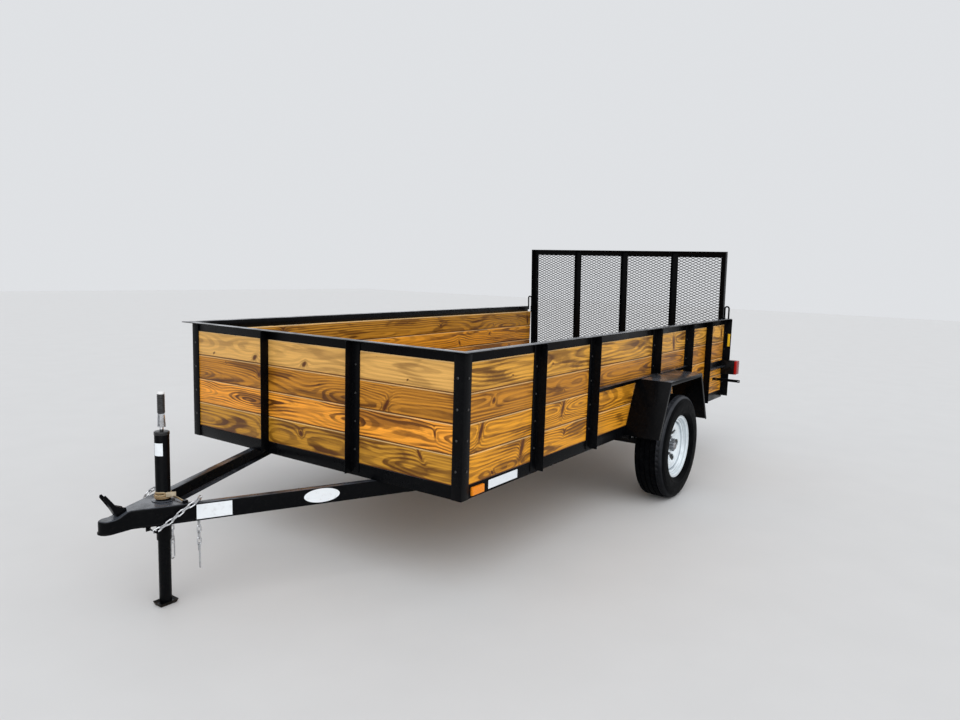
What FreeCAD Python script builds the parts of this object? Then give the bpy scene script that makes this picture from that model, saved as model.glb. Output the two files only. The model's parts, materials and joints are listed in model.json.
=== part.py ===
import FreeCAD, Part
import os
from math import asin, atan2, cos, pi, radians, sin, sqrt, tan

V = FreeCAD.Vector
os.makedirs("parts", exist_ok=True)

# Single-axle utility trailer with wooden sides, a mesh ramp gate and an A-frame tongue.
# Millimetres. +X is forward, +Y is the left side, +Z is up, and the ground is z = 0.

# Bed: outer faces of the boards, and the boards themselves
bed_width = 1956.0
bed_length = 3708.0
board_height = 137.0
board_gap = 1.5
boards_high = 4
board_thickness = 38.0
board_edge_gap = 1.0

# Deck boards, laid lengthwise, their tops level with the top of the main frame
deck_board_width = 185.0
deck_board_gap = 8.0
deck_thickness = 38.0

# Main frame and top rail, rolled steel angle
angle_wall = 4.8
frame_height = 63.5
frame_leg = 50.8
rail_depth = 50.8
rail_overhang = 46.0
frame_clearance = 458.0

# Crossmembers, channel laid flat under the deck
crossmember_width = 76.0
crossmember_count = 7

# Posts, steel angle: one leg flat on the boards, the other standing out
post_leg = 50.8
post_foot = 14.0
corner_leg = 57.0
front_post_place = 311.0
first_post_share = 0.508
second_post_lead = 919.0
fourth_post_lag = 625.0
fifth_post_from_tail = 503.0

# Axle, wheels and springs
axle_from_tail = 1553.0
tyre_radius = 344.0
tyre_width = 205.0
tyre_frame_gap = 20.0
rim_radius = 190.5
rim_flange = 17.0
rim_width = 152.0
rim_wall = 4.0
rim_drop = 22.0
well_rear = -16.0
well_front = 30.0
well_slope = 12.0
# the front of the barrel: how far behind the lip's plane, and how far inside the lip's outer edge
rim_steps = ((0.0, 3.0), (0.0, 6.5), (6.0, 13.5), (10.0, 21.0), (24.0, 22.5), (28.0, 29.5), (38.0, 31.0),
             (43.0, 41.0))
disc_inset = 33.0
disc_dish = 30.0
disc_bore = 32.0
disc_edge = 20.0
crown_radius = 138.0
crown_inner = 112.0
dish_radius = 69.0
window_count = 5
window_circle = 90.0
window_width = 55.0
window_depth = 39.0
window_turn = -24.0
lug_circle = 57.15
lug_count = 5
lug_radius = 10.5
lug_length = 22.0
hub_radius = 38.0
hub_flange_radius = 64.0
hub_flange = 14.0
cap_radius = 31.0
cap_length = 45.0
axle_radius = 30.0
spindle_radius = 17.0
spindle_reach = 40.0
bearing_clearance = 0.5
spring_span = 642.0
spring_camber = 25.0
spring_width = 44.5
leaf_thickness = 7.0
leaf_count = 3
leaf_step = 0.22
spring_inset = 34.0
eye_radius = 15.0
eye_bore = 7.0
spring_seat = 7.0
hanger_wall = 6.0
hanger_length = 56.0
bolt_radius = 6.5
ubolt_radius = 6.0
clamp_plate = 9.0
clamp_length = 96.0
shackle_length = 52.0

# Fenders, folded plate
fender_width = 235.0
fender_top_length = 584.0
fender_bottom_length = 905.0
fender_drop = 309.0
fender_foot = 10.0
fender_wall = 3.0
fender_lip = 24.0
fender_rail_leg = 32.0

# Tongue and coupler
tongue_angle = 25.0
tongue_apex = 1025.0
tongue_tail = 600.0
channel_height = 76.0
channel_flange = 38.0
channel_wall = 4.5
member_front = 925.0
coupler_wall = 5.0
coupler_rear = 750.0
coupler_skirt = 76.0
coupler_lip = 6.0
coupler_lip_height = 5.0
ramp_start = 970.0
ramp_end = 1028.0
ramp_drop = 21.0
ball_place = 1047.0
ball_radius = 25.4
ball_clearance = 0.6
nose_radius = 38.0
nose_round = 13.0
latch_width = 34.0
latch_wall = 4.0
# the latch's foot on the ramp, its outline seen from the side, and the part that is open between its
# cheeks: forward of the ramp's start, and above the coupler's top
latch_foot = (4.0, 44.0)
latch_outline = ((62.0, 17.0), (98.0, 72.0), (96.0, 81.0), (88.0, 83.0),
                 (48.0, 30.0), (6.0, 13.0))
latch_opening = ((-5.0, 8.0), (39.0, -7.0), (53.0, 18.0), (65.0, 36.0), (80.0, 25.0), (120.0, 70.0),
                 (120.0, 100.0), (-5.0, 100.0))

# Jack
jack_place = 805.0
jack_tube_radius = 30.0
jack_tube_wall = 4.2
jack_bottom = 291.0
jack_top = 748.0
jack_leg_clearance = 0.4
jack_leg_wall = 4.0
jack_leg_top = 490.0
jack_collar_radius = 46.0
jack_collar_height = 3.0
jack_cap_height = 14.0
jack_cap_grow = 1.5
jack_stem_radius = 8.0
jack_stem = 18.0
foot_size = 114.0
foot_thickness = 5.0
foot_rise = 12.0
grip_radius = 15.5
grip_length = 93.0
clevis_width = 24.0
clevis_taper = 2.5
clevis_height = 57.0
clevis_wall = 4.5
clevis_pin_radius = 3.5
clevis_pin_drop = 12.0

# Safety chains: welded links on a bolt under each tongue member, with a hook at the free end
chain_wire = 6.0
chain_pitch = 27.0
chain_slack = 0.3
chain_width = 15.0
link_end_share = 0.62
chain_bolt_place = 900.0
chain_bolt_height = 372.0
chain_bolt_radius = 3.2
chain_bolt_end = 101.0
chain_lug = 20.0
hook_eye_radius = 9.5
hook_shank_radius = 5.0
hook_shank = 62.0
hook_bend = 20.0
# the way each chain hangs, from its bolt over the member and down inside
chain_left_way = ((902.8, 89.2, 371.2), (868.0, 99.0, 385.0), (836.0, 114.0, 409.0), (799.0, 133.0, 443.0),
                  (779.5, 144.0, 458.0), (756.5, 151.0, 470.0), (731.7, 144.0, 478.5),
                  (712.0, 125.6, 478.5), (702.0, 102.0, 467.5), (696.0, 88.5, 445.0), (694.8, 86.0, 418.5),
                  (694.8, 86.0, 160.0))
chain_right_way = ((902.6, -89.2, 370.7), (868.0, -100.0, 391.0), (825.0, -121.0, 437.0),
                   (806.6, -133.0, 452.7), (785.0, -137.0, 468.3), (762.0, -129.0, 480.0),
                   (744.5, -109.0, 484.5), (734.2, -86.0, 474.8), (729.3, -71.2, 452.8),
                   (727.4, -65.8, 426.4), (727.4, -65.8, 160.0))
chain_left_links = 19
chain_right_links = 18

# Lead of the lamps: out of a clip on the left tongue member, round the jack tube, and its connector
lead_diameter = 9.0
lead_clip = (761.0, 779.0, 97.0, 113.0)
lead_clip_height = 13.0
lead_way = ((770.0, 97.0, 469.5), (770.0, 79.0, 469.5), (766.0, 56.0, 471.5), (765.5, 24.0, 473.0),
            (770.5, -5.8, 474.0))
coil_low = 467.0
coil_high = 508.0
coil_clearance = 0.4
plug_angle = 59.0
plug_start = 10.0
plug_length = 46.0
plug_thickness = 11.0
plug_height = 26.0
plug_middle = 494.0

# Ramp gate
gate_height = 1165.0
gate_inset = 35.5
gate_bar = 50.8
gate_wall = 3.2
gate_bays = 4
gate_lean = 2.7
gate_clearance = 6.0
mesh_long = 190.0
mesh_short = 95.0
mesh_strand = 7.0
mesh_thickness = 3.0
hinge_pin_radius = 8.0
hinge_barrel_radius = 13.5
hinge_barrel_length = 60.0
hinge_ear_wall = 6.0
hinge_ear_foot = 12.0
hinge_drop = 20.0
hinge_inset = 158.0
hinge_saddle = 20.0
hinge_count = 3
hinge_clearance = 0.5
keeper_rod_radius = 6.75
keeper_rise = 104.0
keeper_spread = 34.0
keeper_sleeve_wall = 3.0
keeper_sleeve_low = -60.0
keeper_sleeve_high = 2.0
keeper_low = -34.0

# Lamps, reflectors and the plate bracket
lamp_place = 66.0
lamp_reach = 110.0
lamp_height = 114.0
lamp_plate = 3.0
lamp_depth = 49.0
lens_depth = 24.0
lamp_drop = 346.0
lamp_studs = (26.0, 84.0)
lamp_stud_drop = 63.0
lamp_stud_radius = 4.0
lamp_nut_radius = 8.0
lamp_bar_height = 50.8
plate_bar_place = 226.0
plate_bar_drop = 478.0
plate_bar_height = 22.0
plate_bar_wall = 4.0
plate_bar_reach = 208.0
plate_bar_foot = 45.0
plate_hole_edge = 12.0
plate_hole_spacing = 178.0
plate_hole_radius = 3.5
marker_length = 92.0
marker_height = 38.0
marker_depth = 14.0
marker_place = 118.0
reflector_height = 105.0
reflector_width = 19.0
reflector_inset = 24.0
reflector_depth = 6.0
reflector_drop = 129.0

# Levels and places that follow from the sizes above
half = bed_width / 2
wall_height = boards_high * board_height + (boards_high - 1) * board_gap
deck_top = frame_clearance + frame_height
board_top = deck_top + wall_height
rail_top = board_top + rail_depth
axle_setback = bed_length - axle_from_tail
second_post = axle_setback - second_post_lead
# side posts: distance of the standing leg behind the bed's front, which way the flat leg runs
# from it (+1 forward, -1 rearward), and whether the post stops on the fender rail
side_posts = (
    (second_post * first_post_share, +1, False),
    (second_post, +1, False),
    (axle_setback, +1, True),
    (axle_setback + fourth_post_lag, +1, False),
    (bed_length - fifth_post_from_tail, -1, False),
)
axle_x = -axle_setback
tyre_centre = half + tyre_frame_gap + tyre_width / 2
nose_x = ball_place + nose_radius
tail_x = -bed_length
hinge_z = deck_top - hinge_drop
hinge_x = tail_x - gate_clearance - (board_top - hinge_z) * tan(radians(gate_lean)) - gate_bar / 2
gate_low = hinge_z + hinge_barrel_radius
gate_side = half - gate_inset
coupler_top = frame_clearance + coupler_wall
coupler_low = coupler_top - coupler_skirt
nose_top = coupler_top - ramp_drop
rearmost = hinge_x - gate_bar / 2 * cos(radians(gate_lean)) + hinge_barrel_radius * sin(radians(gate_lean))
shift = V(-(nose_x + rearmost) / 2, 0, 0)
ANY = 2000.0


def block(x0, x1, y0, y1, z0, z1):
    return Part.makeBox(x1 - x0, y1 - y0, z1 - z0, V(x0, y0, z0))


def prism(points, along):
    corners = [V(*p) for p in points]
    return Part.Face(Part.makePolygon(corners + corners[:1])).extrude(V(*along))


def rod(radius, start, end):
    start, end = V(*start), V(*end)
    return Part.makeCylinder(radius, (end - start).Length, start, end - start)


def tube(radius, wall, start, end):
    return rod(radius, start, end).cut(rod(radius - wall, start, end))


def turned(points, centre, axis_y=True):
    # (along, radius) points, spun about a line through centre along Y, or along Z
    if axis_y:
        corners = [V(centre[0], centre[1] + a, centre[2] + r) for a, r in points]
        return Part.Face(Part.makePolygon(corners + corners[:1])).revolve(V(*centre), V(0, 1, 0), 360)
    corners = [V(centre[0] + r, centre[1], centre[2] + a) for a, r in points]
    return Part.Face(Part.makePolygon(corners + corners[:1])).revolve(V(*centre), V(0, 0, 1), 360)


def joined(shapes):
    first = shapes[0]
    return first.fuse(shapes[1:]).removeSplitter() if len(shapes) > 1 else first


def hexagonal(radius, start, along):
    # Six-sided nut or bolt head along Y or Z, its corners on the given radius
    corners = []
    for i in range(6):
        a, b = radius * sin(pi * i / 3), radius * cos(pi * i / 3)
        offset = (a, 0, b) if along[1] else (a, b, 0)
        corners.append([s + o for s, o in zip(start, offset)])
    return prism(corners, along)


def bent(radius, bend, centre, side, turn):
    # Bar of eight-sided section, bent round an axis along Y; it starts at the side's X direction
    corners = []
    for i in range(8):
        a = pi * (i + 0.5) / 4
        corners.append(V(centre[0] + side * (bend + radius * cos(a)), centre[1] + radius * sin(a), centre[2]))
    section = Part.Face(Part.makePolygon(corners + corners[:1]))
    return section.revolve(V(*centre), V(0, 1, 0), side * turn)


def mirrored(shape):
    return shape.mirror(V(0, 0, 0), V(0, 1, 0))


def both_sides(solids):
    solids = solids if isinstance(solids, list) else [solids]
    return solids + [mirrored(s) for s in solids]


def leaning(shape):
    # The gate is drawn upright and then tipped forward about its hinge
    shape = shape.copy()
    shape.rotate(V(hinge_x, 0, hinge_z), V(0, 1, 0), gate_lean)
    return shape


def save(name, solids):
    # One STEP per piece, moved so that the origin lies under the middle of the trailer
    solids = solids if isinstance(solids, list) else [solids]
    shape = solids[0] if len(solids) == 1 else Part.makeCompound(solids)
    shape = shape.copy()
    shape.translate(shift)
    shape.exportStep("parts/%s.step" % name)


# Main frame: a ring of angle, the upright leg outside and the flat leg turned in at the bottom
def main_frame():
    ring = block(tail_x, 0, -half, half, frame_clearance, deck_top)
    wall, leg = angle_wall, frame_leg
    ring = ring.cut(block(tail_x + wall, -wall, -half + wall, half - wall, frame_clearance + wall, deck_top))
    return ring.cut(block(tail_x + leg, -leg, -half + leg, half - leg, frame_clearance, deck_top))


def crossmember_places():
    first, last = -frame_leg - crossmember_width / 2, tail_x + frame_leg + crossmember_width / 2
    step = (last - first) / (crossmember_count - 1)
    return [first + step * i for i in range(crossmember_count)]


def crossmembers():
    # Channel laid flat, web up, its ends coped over the frame's bottom leg
    top, low = deck_top - deck_thickness, frame_clearance
    inner = half - angle_wall
    ledge = half - frame_leg
    pieces = []
    for x in crossmember_places():
        x0, x1 = x - crossmember_width / 2, x + crossmember_width / 2
        web = block(x0, x1, -inner, inner, low, top)
        web = web.cut(block(x0 + angle_wall, x1 - angle_wall, -inner, inner, low, top - angle_wall))
        for side in (-1, 1):
            y0, y1 = sorted((side * ledge, side * inner))
            web = web.cut(block(x0, x1, y0, y1, low, low + angle_wall))
        pieces.append(web)
    return pieces


def deck_boards():
    room = bed_width - 2 * angle_wall - 2 * deck_board_gap
    count = int((room + deck_board_gap) / (deck_board_width + deck_board_gap))
    gap = (room - count * deck_board_width) / (count - 1)
    boards = []
    for i in range(count):
        y = -room / 2 + i * (deck_board_width + gap)
        boards.append(block(tail_x + angle_wall + board_edge_gap, -angle_wall - board_edge_gap,
                            y, y + deck_board_width, deck_top - deck_thickness, deck_top))
    return boards


def board_levels():
    return [deck_top + i * (board_height + board_gap) for i in range(boards_high)]


def front_boards():
    return [block(-board_thickness, 0, -half, half, z, z + board_height) for z in board_levels()]


def side_boards():
    x1 = -board_thickness - board_edge_gap
    return [block(tail_x, x1, half - board_thickness, half, z, z + board_height) for z in board_levels()]


def top_rail():
    # Angle round the front and both sides, one leg flat on top and one leg down over the boards
    out = rail_overhang
    flat = block(tail_x, out, -half - out, half + out, rail_top - angle_wall, rail_top)
    down = block(tail_x, 0, -half, half, board_top, rail_top)
    inside = block(tail_x, -angle_wall, -half + angle_wall, half - angle_wall, board_top, rail_top)
    return joined([flat, down]).cut(inside)


def corner_post():
    # Angle over the corner of the boards, from the frame's bottom edge to the rail
    outer, inner, low = angle_wall, angle_wall - corner_leg, frame_clearance
    post = block(inner, outer, half + inner, half + outer, low, rail_top - angle_wall)
    return post.cut(block(inner, 0, half + inner, half, low, rail_top - angle_wall))


def front_post():
    # The standing leg faces the middle of the trailer
    y, low, top = front_post_place, frame_clearance + post_foot, rail_top - angle_wall
    flat = block(0, angle_wall, y, y + post_leg, low, top)
    return joined([flat, block(0, post_leg, y, y + angle_wall, low, top)])


def side_post(setback, forward, short):
    x, top = -setback, rail_top - angle_wall
    low = rail_top - fender_drop if short else frame_clearance + post_foot
    x0, x1 = sorted((x, x + forward * post_leg))
    s0, s1 = sorted((x, x + forward * angle_wall))
    flat = block(x0, x1, half, half + angle_wall, low, top)
    return joined([flat, block(s0, s1, half, half + post_leg, low, top)])


def side_post_set():
    posts = [side_post(*row) for row in side_posts]
    return posts + [side_post(bed_length, +1, False)]


def fender_rail():
    # Angle along the boards from the second post to the fourth, flat leg on top
    x0 = -side_posts[3][0] + post_leg
    x1 = -side_posts[1][0]
    top = rail_top - fender_drop
    flat = block(x0, x1, half, half + fender_rail_leg, top - angle_wall, top)
    return joined([flat, block(x0, x1, half, half + angle_wall, top - fender_rail_leg, top)])


def fender_outline(inset, y):
    # Trapezoid open at its foot: the foot line is far below, and is cut off level afterwards
    top = rail_top - fender_drop - angle_wall
    foot = frame_clearance + fender_foot
    run = (fender_bottom_length - fender_top_length) / 2
    slope = atan2(top - foot, run)
    in_top = inset / tan((pi - slope) / 2)
    half_top = fender_top_length / 2 - in_top
    z_top = top - inset
    reach = (z_top - foot + inset) / tan(slope)
    return [(axle_x - half_top - reach, y, foot - inset), (axle_x - half_top, y, z_top),
            (axle_x + half_top, y, z_top), (axle_x + half_top + reach, y, foot - inset)]


def fender():
    y0, y1 = half + angle_wall, half + fender_width
    shell = prism(fender_outline(0, y0), (0, y1 - y0, 0))
    shell = shell.cut(prism(fender_outline(fender_wall, y0), (0, y1 - y0 - fender_wall, 0)))
    shell = shell.cut(prism(fender_outline(fender_lip, y0), (0, y1 - y0, 0)))
    foot = frame_clearance + fender_foot
    return shell.cut(block(axle_x - ANY, axle_x + ANY, y0, y1, foot - ANY, foot))


def tongue_member():
    # Channel with its back outward; its outer face runs at the tongue angle to the apex
    a = radians(tongue_angle)
    top, low = frame_clearance, frame_clearance - channel_height
    x_tail = -tongue_tail

    def outer(x, inset):
        return (tongue_apex - x) * tan(a) - inset / cos(a)

    def slab(inset_out, inset_in, z0, z1):
        x_front = tongue_apex - inset_in / sin(a)
        points = [(x_tail, outer(x_tail, inset_out), z0), (x_tail, outer(x_tail, inset_in), z0),
                  (x_front, 0, z0), (tongue_apex - inset_out / sin(a), 0, z0)]
        return prism(points, (0, 0, z1 - z0))

    whole = slab(0, channel_flange, low, top)
    hollow = slab(channel_wall, channel_flange + 1, low + channel_wall, top - channel_wall)
    trimmed = whole.cut(hollow)
    nose_cut = block(member_front, tongue_apex + channel_flange, -ANY, ANY, low, top)
    return trimmed.cut(nose_cut)


def coupler():
    # Pressed shell over the tongue's ends, sloping down to a round nose over the ball
    a = radians(tongue_angle)
    gap = 0.3

    def plan(grow, x_rear, z, height):
        y_rear = (tongue_apex - x_rear) * tan(a) + grow / cos(a)
        x_tip = tongue_apex + grow / sin(a)
        return prism([(x_rear, -y_rear, z), (x_tip, 0, z), (x_rear, y_rear, z)], (0, 0, height))

    def above_ramp(lower):
        top, low = coupler_top - lower, nose_top - lower
        profile = [(ramp_start, -half, top), (ramp_end, -half, low), (nose_x + 1, -half, low),
                   (nose_x + 1, -half, coupler_top + 1), (ramp_start, -half, coupler_top + 1)]
        return prism(profile, (0, bed_width, 0))

    shell = plan(coupler_wall, coupler_rear, coupler_low, coupler_skirt)
    lip = plan(coupler_wall + coupler_lip, coupler_rear, coupler_low, coupler_lip_height)
    shell = joined([shell, lip]).cut(above_ramp(0))
    inside = plan(gap, coupler_rear - 1, coupler_low, coupler_skirt - coupler_wall + gap)
    shell = shell.cut(inside.cut(above_ramp(coupler_wall)))
    nose = rod(nose_radius, (ball_place, 0, coupler_low), (ball_place, 0, nose_top))
    nose = nose.makeFillet(nose_round, [e for e in nose.Edges if abs(e.CenterOfMass.z - nose_top) < gap])
    ball = ball_radius + ball_clearance
    ball_z = nose_top - coupler_wall - ball
    socket = Part.makeSphere(ball, V(ball_place, 0, ball_z)).fuse(
        rod(ball, (ball_place, 0, coupler_low), (ball_place, 0, ball_z)))
    shell = joined([shell, nose]).cut(socket)
    return shell.cut(rod(jack_tube_radius + gap, (jack_place, 0, coupler_low), (jack_place, 0, coupler_top)))


def coupler_latch():
    # Hand lever on the coupler's slope: a folded channel whose free end is two prongs
    z = coupler_top
    w = latch_width / 2
    inner = w - latch_wall
    outline = [(x, -ramp_drop * x / (ramp_end - ramp_start)) for x in latch_foot] + list(latch_outline)
    lever = prism([(ramp_start + x, -w, z + rise) for x, rise in outline], (0, 2 * w, 0))
    opening = prism([(ramp_start + x, -inner, z + rise) for x, rise in latch_opening], (0, 2 * inner, 0))
    return lever.cut(opening)


def jack_outer():
    body = tube(jack_tube_radius, jack_tube_wall, (jack_place, 0, jack_bottom), (jack_place, 0, jack_top))
    z = frame_clearance + coupler_wall
    collar = tube(jack_collar_radius, jack_collar_radius - jack_tube_radius + 1,
                  (jack_place, 0, z), (jack_place, 0, z + jack_collar_height))
    return joined([body, collar])


def jack_cap():
    r = jack_tube_radius + jack_cap_grow
    z = jack_top + jack_cap_height
    bevel = 3.0
    points = [(0, 0), (0, r), (jack_cap_height - bevel, r), (jack_cap_height, r - bevel), (jack_cap_height, 0)]
    cap = turned(points, (jack_place, 0, jack_top), axis_y=False)
    return joined([cap, rod(jack_stem_radius, (jack_place, 0, z), (jack_place, 0, z + jack_stem))])


def clevis_low():
    return jack_top + jack_cap_height + jack_stem


def jack_clevis():
    # Forked strap that the folding handle turns in
    z0 = clevis_low()
    w, t = clevis_width / 2, clevis_taper
    top = z0 + clevis_height
    x0, x1 = jack_place - w, jack_place + w
    strap = prism([(x0, -w, z0), (x1, -w, z0), (x1 - t, -w, top), (x0 + t, -w, top)], (0, clevis_width, 0))
    slot = block(x0, x1, -w + clevis_wall, w - clevis_wall, z0 + clevis_wall, top)
    pin_z = top - clevis_pin_drop
    pin = rod(clevis_pin_radius, (jack_place, -w - 3, pin_z), (jack_place, w + 3, pin_z))
    return joined([strap.cut(slot), pin])


def jack_grip():
    gap = 0.3
    z0 = clevis_low() + clevis_height + gap
    r = grip_radius
    round_low, round_high = 4.0, 6.0
    points = [(0, 0), (0, r - round_low / 2), (round_low, r), (grip_length - round_high, r),
              (grip_length, r - round_high / 2), (grip_length, 0)]
    grip = turned(points, (jack_place, 0, z0), axis_y=False)
    w = clevis_width / 2 - clevis_wall - gap
    low = clevis_low() + clevis_wall + gap
    tang = block(jack_place - w, jack_place + w, -w, w, low, z0)
    pin_z = z0 - gap - clevis_pin_drop
    pin_hole = rod(clevis_pin_radius + gap, (jack_place, -w, pin_z), (jack_place, w, pin_z))
    return joined([grip, tang.cut(pin_hole)])


def jack_leg():
    jack_leg_radius = jack_tube_radius - jack_tube_wall - jack_leg_clearance
    return tube(jack_leg_radius, jack_leg_wall, (jack_place, 0, foot_thickness), (jack_place, 0, jack_leg_top))


def jack_foot():
    # Pressed plate, its front and rear edges turned up
    h, t, r = foot_size / 2, foot_thickness, foot_rise
    lift = 18.0
    profile = [(-h, r), (-h + lift, 0), (h - lift, 0), (h, r), (h, r + t), (h - lift, t), (-h + lift, t),
               (-h, r + t)]
    points = [(jack_place + x, -h, z) for x, z in profile]
    return prism(points, (0, foot_size, 0))


def chain_link():
    # One welded link at the origin, along X and lying flat: eight straight stretches, mitred
    length = (chain_pitch + chain_slack + chain_wire) / 2
    width = chain_width / 2
    straight = length - width
    quarter = [(straight, width), (length, width * link_end_share)]
    ring = quarter + [(x, -y) for x, y in reversed(quarter)]
    ring = ring + [(-x, -y) for x, y in ring]
    count = len(ring)
    sections = []
    for i in range(count):
        before, here, after = V(*ring[i - 1], 0), V(*ring[i], 0), V(*ring[(i + 1) % count], 0)
        side_in = (here - before).normalize().cross(V(0, 0, 1))
        side_out = (after - here).normalize().cross(V(0, 0, 1))
        mitre = (side_in + side_out) * (1 / (1 + side_in.dot(side_out)))
        corners = []
        for k in range(6):
            t = pi * (k + 0.5) / 3
            corners.append(here + mitre * (chain_wire / 2 * cos(t)) + V(0, 0, chain_wire / 2 * sin(t)))
        sections.append(corners)
    faces = []
    for i in range(count):
        one, two = sections[i - 1], sections[i]
        for k in range(6):
            faces.append(Part.Face(Part.makePolygon([one[k - 1], one[k], two[k], two[k - 1], one[k - 1]])))
    solid = Part.Solid(Part.Shell(faces))
    return solid if solid.Volume > 0 else solid.reversed()


def chain_joints(way, links):
    # Points a link's pitch apart along the way, the first at its start
    joints = [V(*way[0])]
    corners = [V(*p) for p in way]
    leg, start = 0, corners[0]
    while len(joints) <= links:
        here = joints[-1]
        while (corners[leg + 1] - here).Length < chain_pitch:
            leg += 1
            start = corners[leg]
        along = (corners[leg + 1] - start).normalize()
        near = (start - here).dot(along)
        off = (start - here).Length ** 2 - chain_pitch ** 2
        joints.append(start + along * (sqrt(near * near - off) - near))
        start = joints[-1]
    return joints


def chain_frames(way, links):
    # Where each link lies: its middle and its own three directions, turned a quarter from the last one
    joints = chain_joints(way, links)
    frames = []
    level = V(0, 0, 1)
    for start, end in zip(joints, joints[1:]):
        along = (end - start).normalize()
        level = along.cross(level).normalize()
        frames.append(((start + end) * 0.5, along, level.cross(along), level))
    return frames


def placed(shape, middle, along, across, up):
    shape = shape.copy()
    shape.Placement = FreeCAD.Placement(FreeCAD.Matrix(
        along.x, across.x, up.x, middle.x, along.y, across.y, up.y, middle.y,
        along.z, across.z, up.z, middle.z, 0, 0, 0, 1))
    return shape


def chain(way, links):
    link = chain_link()
    return [placed(link, *frame) for frame in chain_frames(way, links)]


def chain_hook(way, links):
    # Eye, shank and open bend along X from the end of the last link, the eye square to that link
    middle, along, across, up = chain_frames(way, links)[-1]
    start = (chain_pitch - chain_slack - chain_wire) / 2
    eye_x = start + hook_eye_radius
    far = eye_x + hook_eye_radius + hook_shank
    eye = bent(chain_wire / 2, hook_eye_radius, (eye_x, 0, 0), 1, 360)
    shank = rod(hook_shank_radius, (eye_x + hook_eye_radius, 0, 0), (far, 0, 0))
    bend = bent(hook_shank_radius, hook_bend, (0, 0, 0), -1, 215)
    bend.rotate(V(0, 0, 0), V(0, 1, 0), 90)
    bend.translate(V(far, 0, -hook_bend))
    return placed(joined([eye, shank, bend]), middle, along, across, up)


def chain_bolt():
    # Lug under the tongue member, with the bolt that the chain's first link hangs on
    x, z = chain_bolt_place, chain_bolt_height
    low = frame_clearance - channel_height
    y = (tongue_apex - x) * tan(radians(tongue_angle)) - channel_flange / 2
    head = 5.0
    lug = block(x - chain_lug / 2, x + chain_lug / 2, y, y + channel_wall, z - chain_lug / 2, low)
    pin = rod(chain_bolt_radius, (x, y, z), (x, chain_bolt_end, z))
    return joined([lug, pin, hexagonal(chain_bolt_radius * 2, (x, chain_bolt_end, z), (0, head, 0))])


def lead_tube():
    # Straight runs joined by tangent arcs, from the clip to the coil round the jack tube
    corners = [V(*p) for p in lead_way]
    edges, here = [], corners[0]
    radii = []
    for before, corner, after in zip(corners, corners[1:], corners[2:]):
        to_in, to_out = before - corner, after - corner
        run = 0.45 * min(to_in.Length, to_out.Length)
        turn = pi - to_in.getAngle(to_out)
        radii.append(round(run / tan(turn / 2)))
        start, end = corner + to_in.normalize() * run, corner + to_out.normalize() * run
        inward = (to_in + to_out).normalize()
        rise = run / tan(turn / 2) * (1 / cos(turn / 2) - 1)
        edges.append(Part.LineSegment(here, start).toShape())
        edges.append(Part.Arc(start, corner + inward * rise, end).toShape())
        here = end
    edges.append(Part.LineSegment(here, corners[-1]).toShape())
    path = Part.Wire(edges)
    section = Part.Wire(Part.Circle(corners[0], corners[1] - corners[0], lead_diameter / 2).toShape())
    tube_solid = path.makePipeShell([section], True, False)
    print("lead: length", round(path.Length), "radii", radii, "volume share",
          round(tube_solid.Volume / (pi * lead_diameter ** 2 / 4 * path.Length), 3))
    outside = coil_radius()
    return tube_solid.cut(rod(outside, (jack_place, 0, coil_low - lead_diameter), (jack_place, 0, coil_high)))


def coil_radius():
    return jack_tube_radius + coil_clearance + lead_diameter


def lead_coil():
    wall = lead_diameter
    return tube(coil_radius(), wall, (jack_place, 0, coil_low), (jack_place, 0, coil_high))


def lead_plug():
    # Flat connector that the coil's last turn ends in
    middle = coil_radius() - lead_diameter / 2
    x0, z0 = jack_place + middle - plug_thickness / 2, plug_middle - plug_height / 2
    body = block(x0, x0 + plug_thickness, plug_start, plug_start + plug_length, z0, z0 + plug_height)
    body.rotate(V(jack_place, 0, 0), V(0, 0, 1), plug_angle)
    return body.cut(rod(coil_radius(), (jack_place, 0, coil_low), (jack_place, 0, coil_high)))


def lead_clip_block():
    x0, x1, y0, y1 = lead_clip
    return block(x0, x1, y0, y1, coupler_top, coupler_top + lead_clip_height)


def axle_beam():
    end = half + tyre_frame_gap - 8
    z = tyre_radius
    beam = rod(axle_radius, (axle_x, -end, z), (axle_x, end, z))
    reach = tyre_centre + spindle_reach
    spindle = rod(spindle_radius, (axle_x, -reach, z), (axle_x, reach, z))
    return joined([beam, spindle])


def spring_place():
    return half - spring_inset


def spring_radius():
    a, h = spring_span / 2, spring_camber
    return (a * a + h * h) / (2 * h)


def seat_top():
    return tyre_radius + axle_radius + spring_seat


def eye_height():
    return seat_top() + leaf_count * leaf_thickness + spring_camber + eye_radius - leaf_thickness


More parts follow.
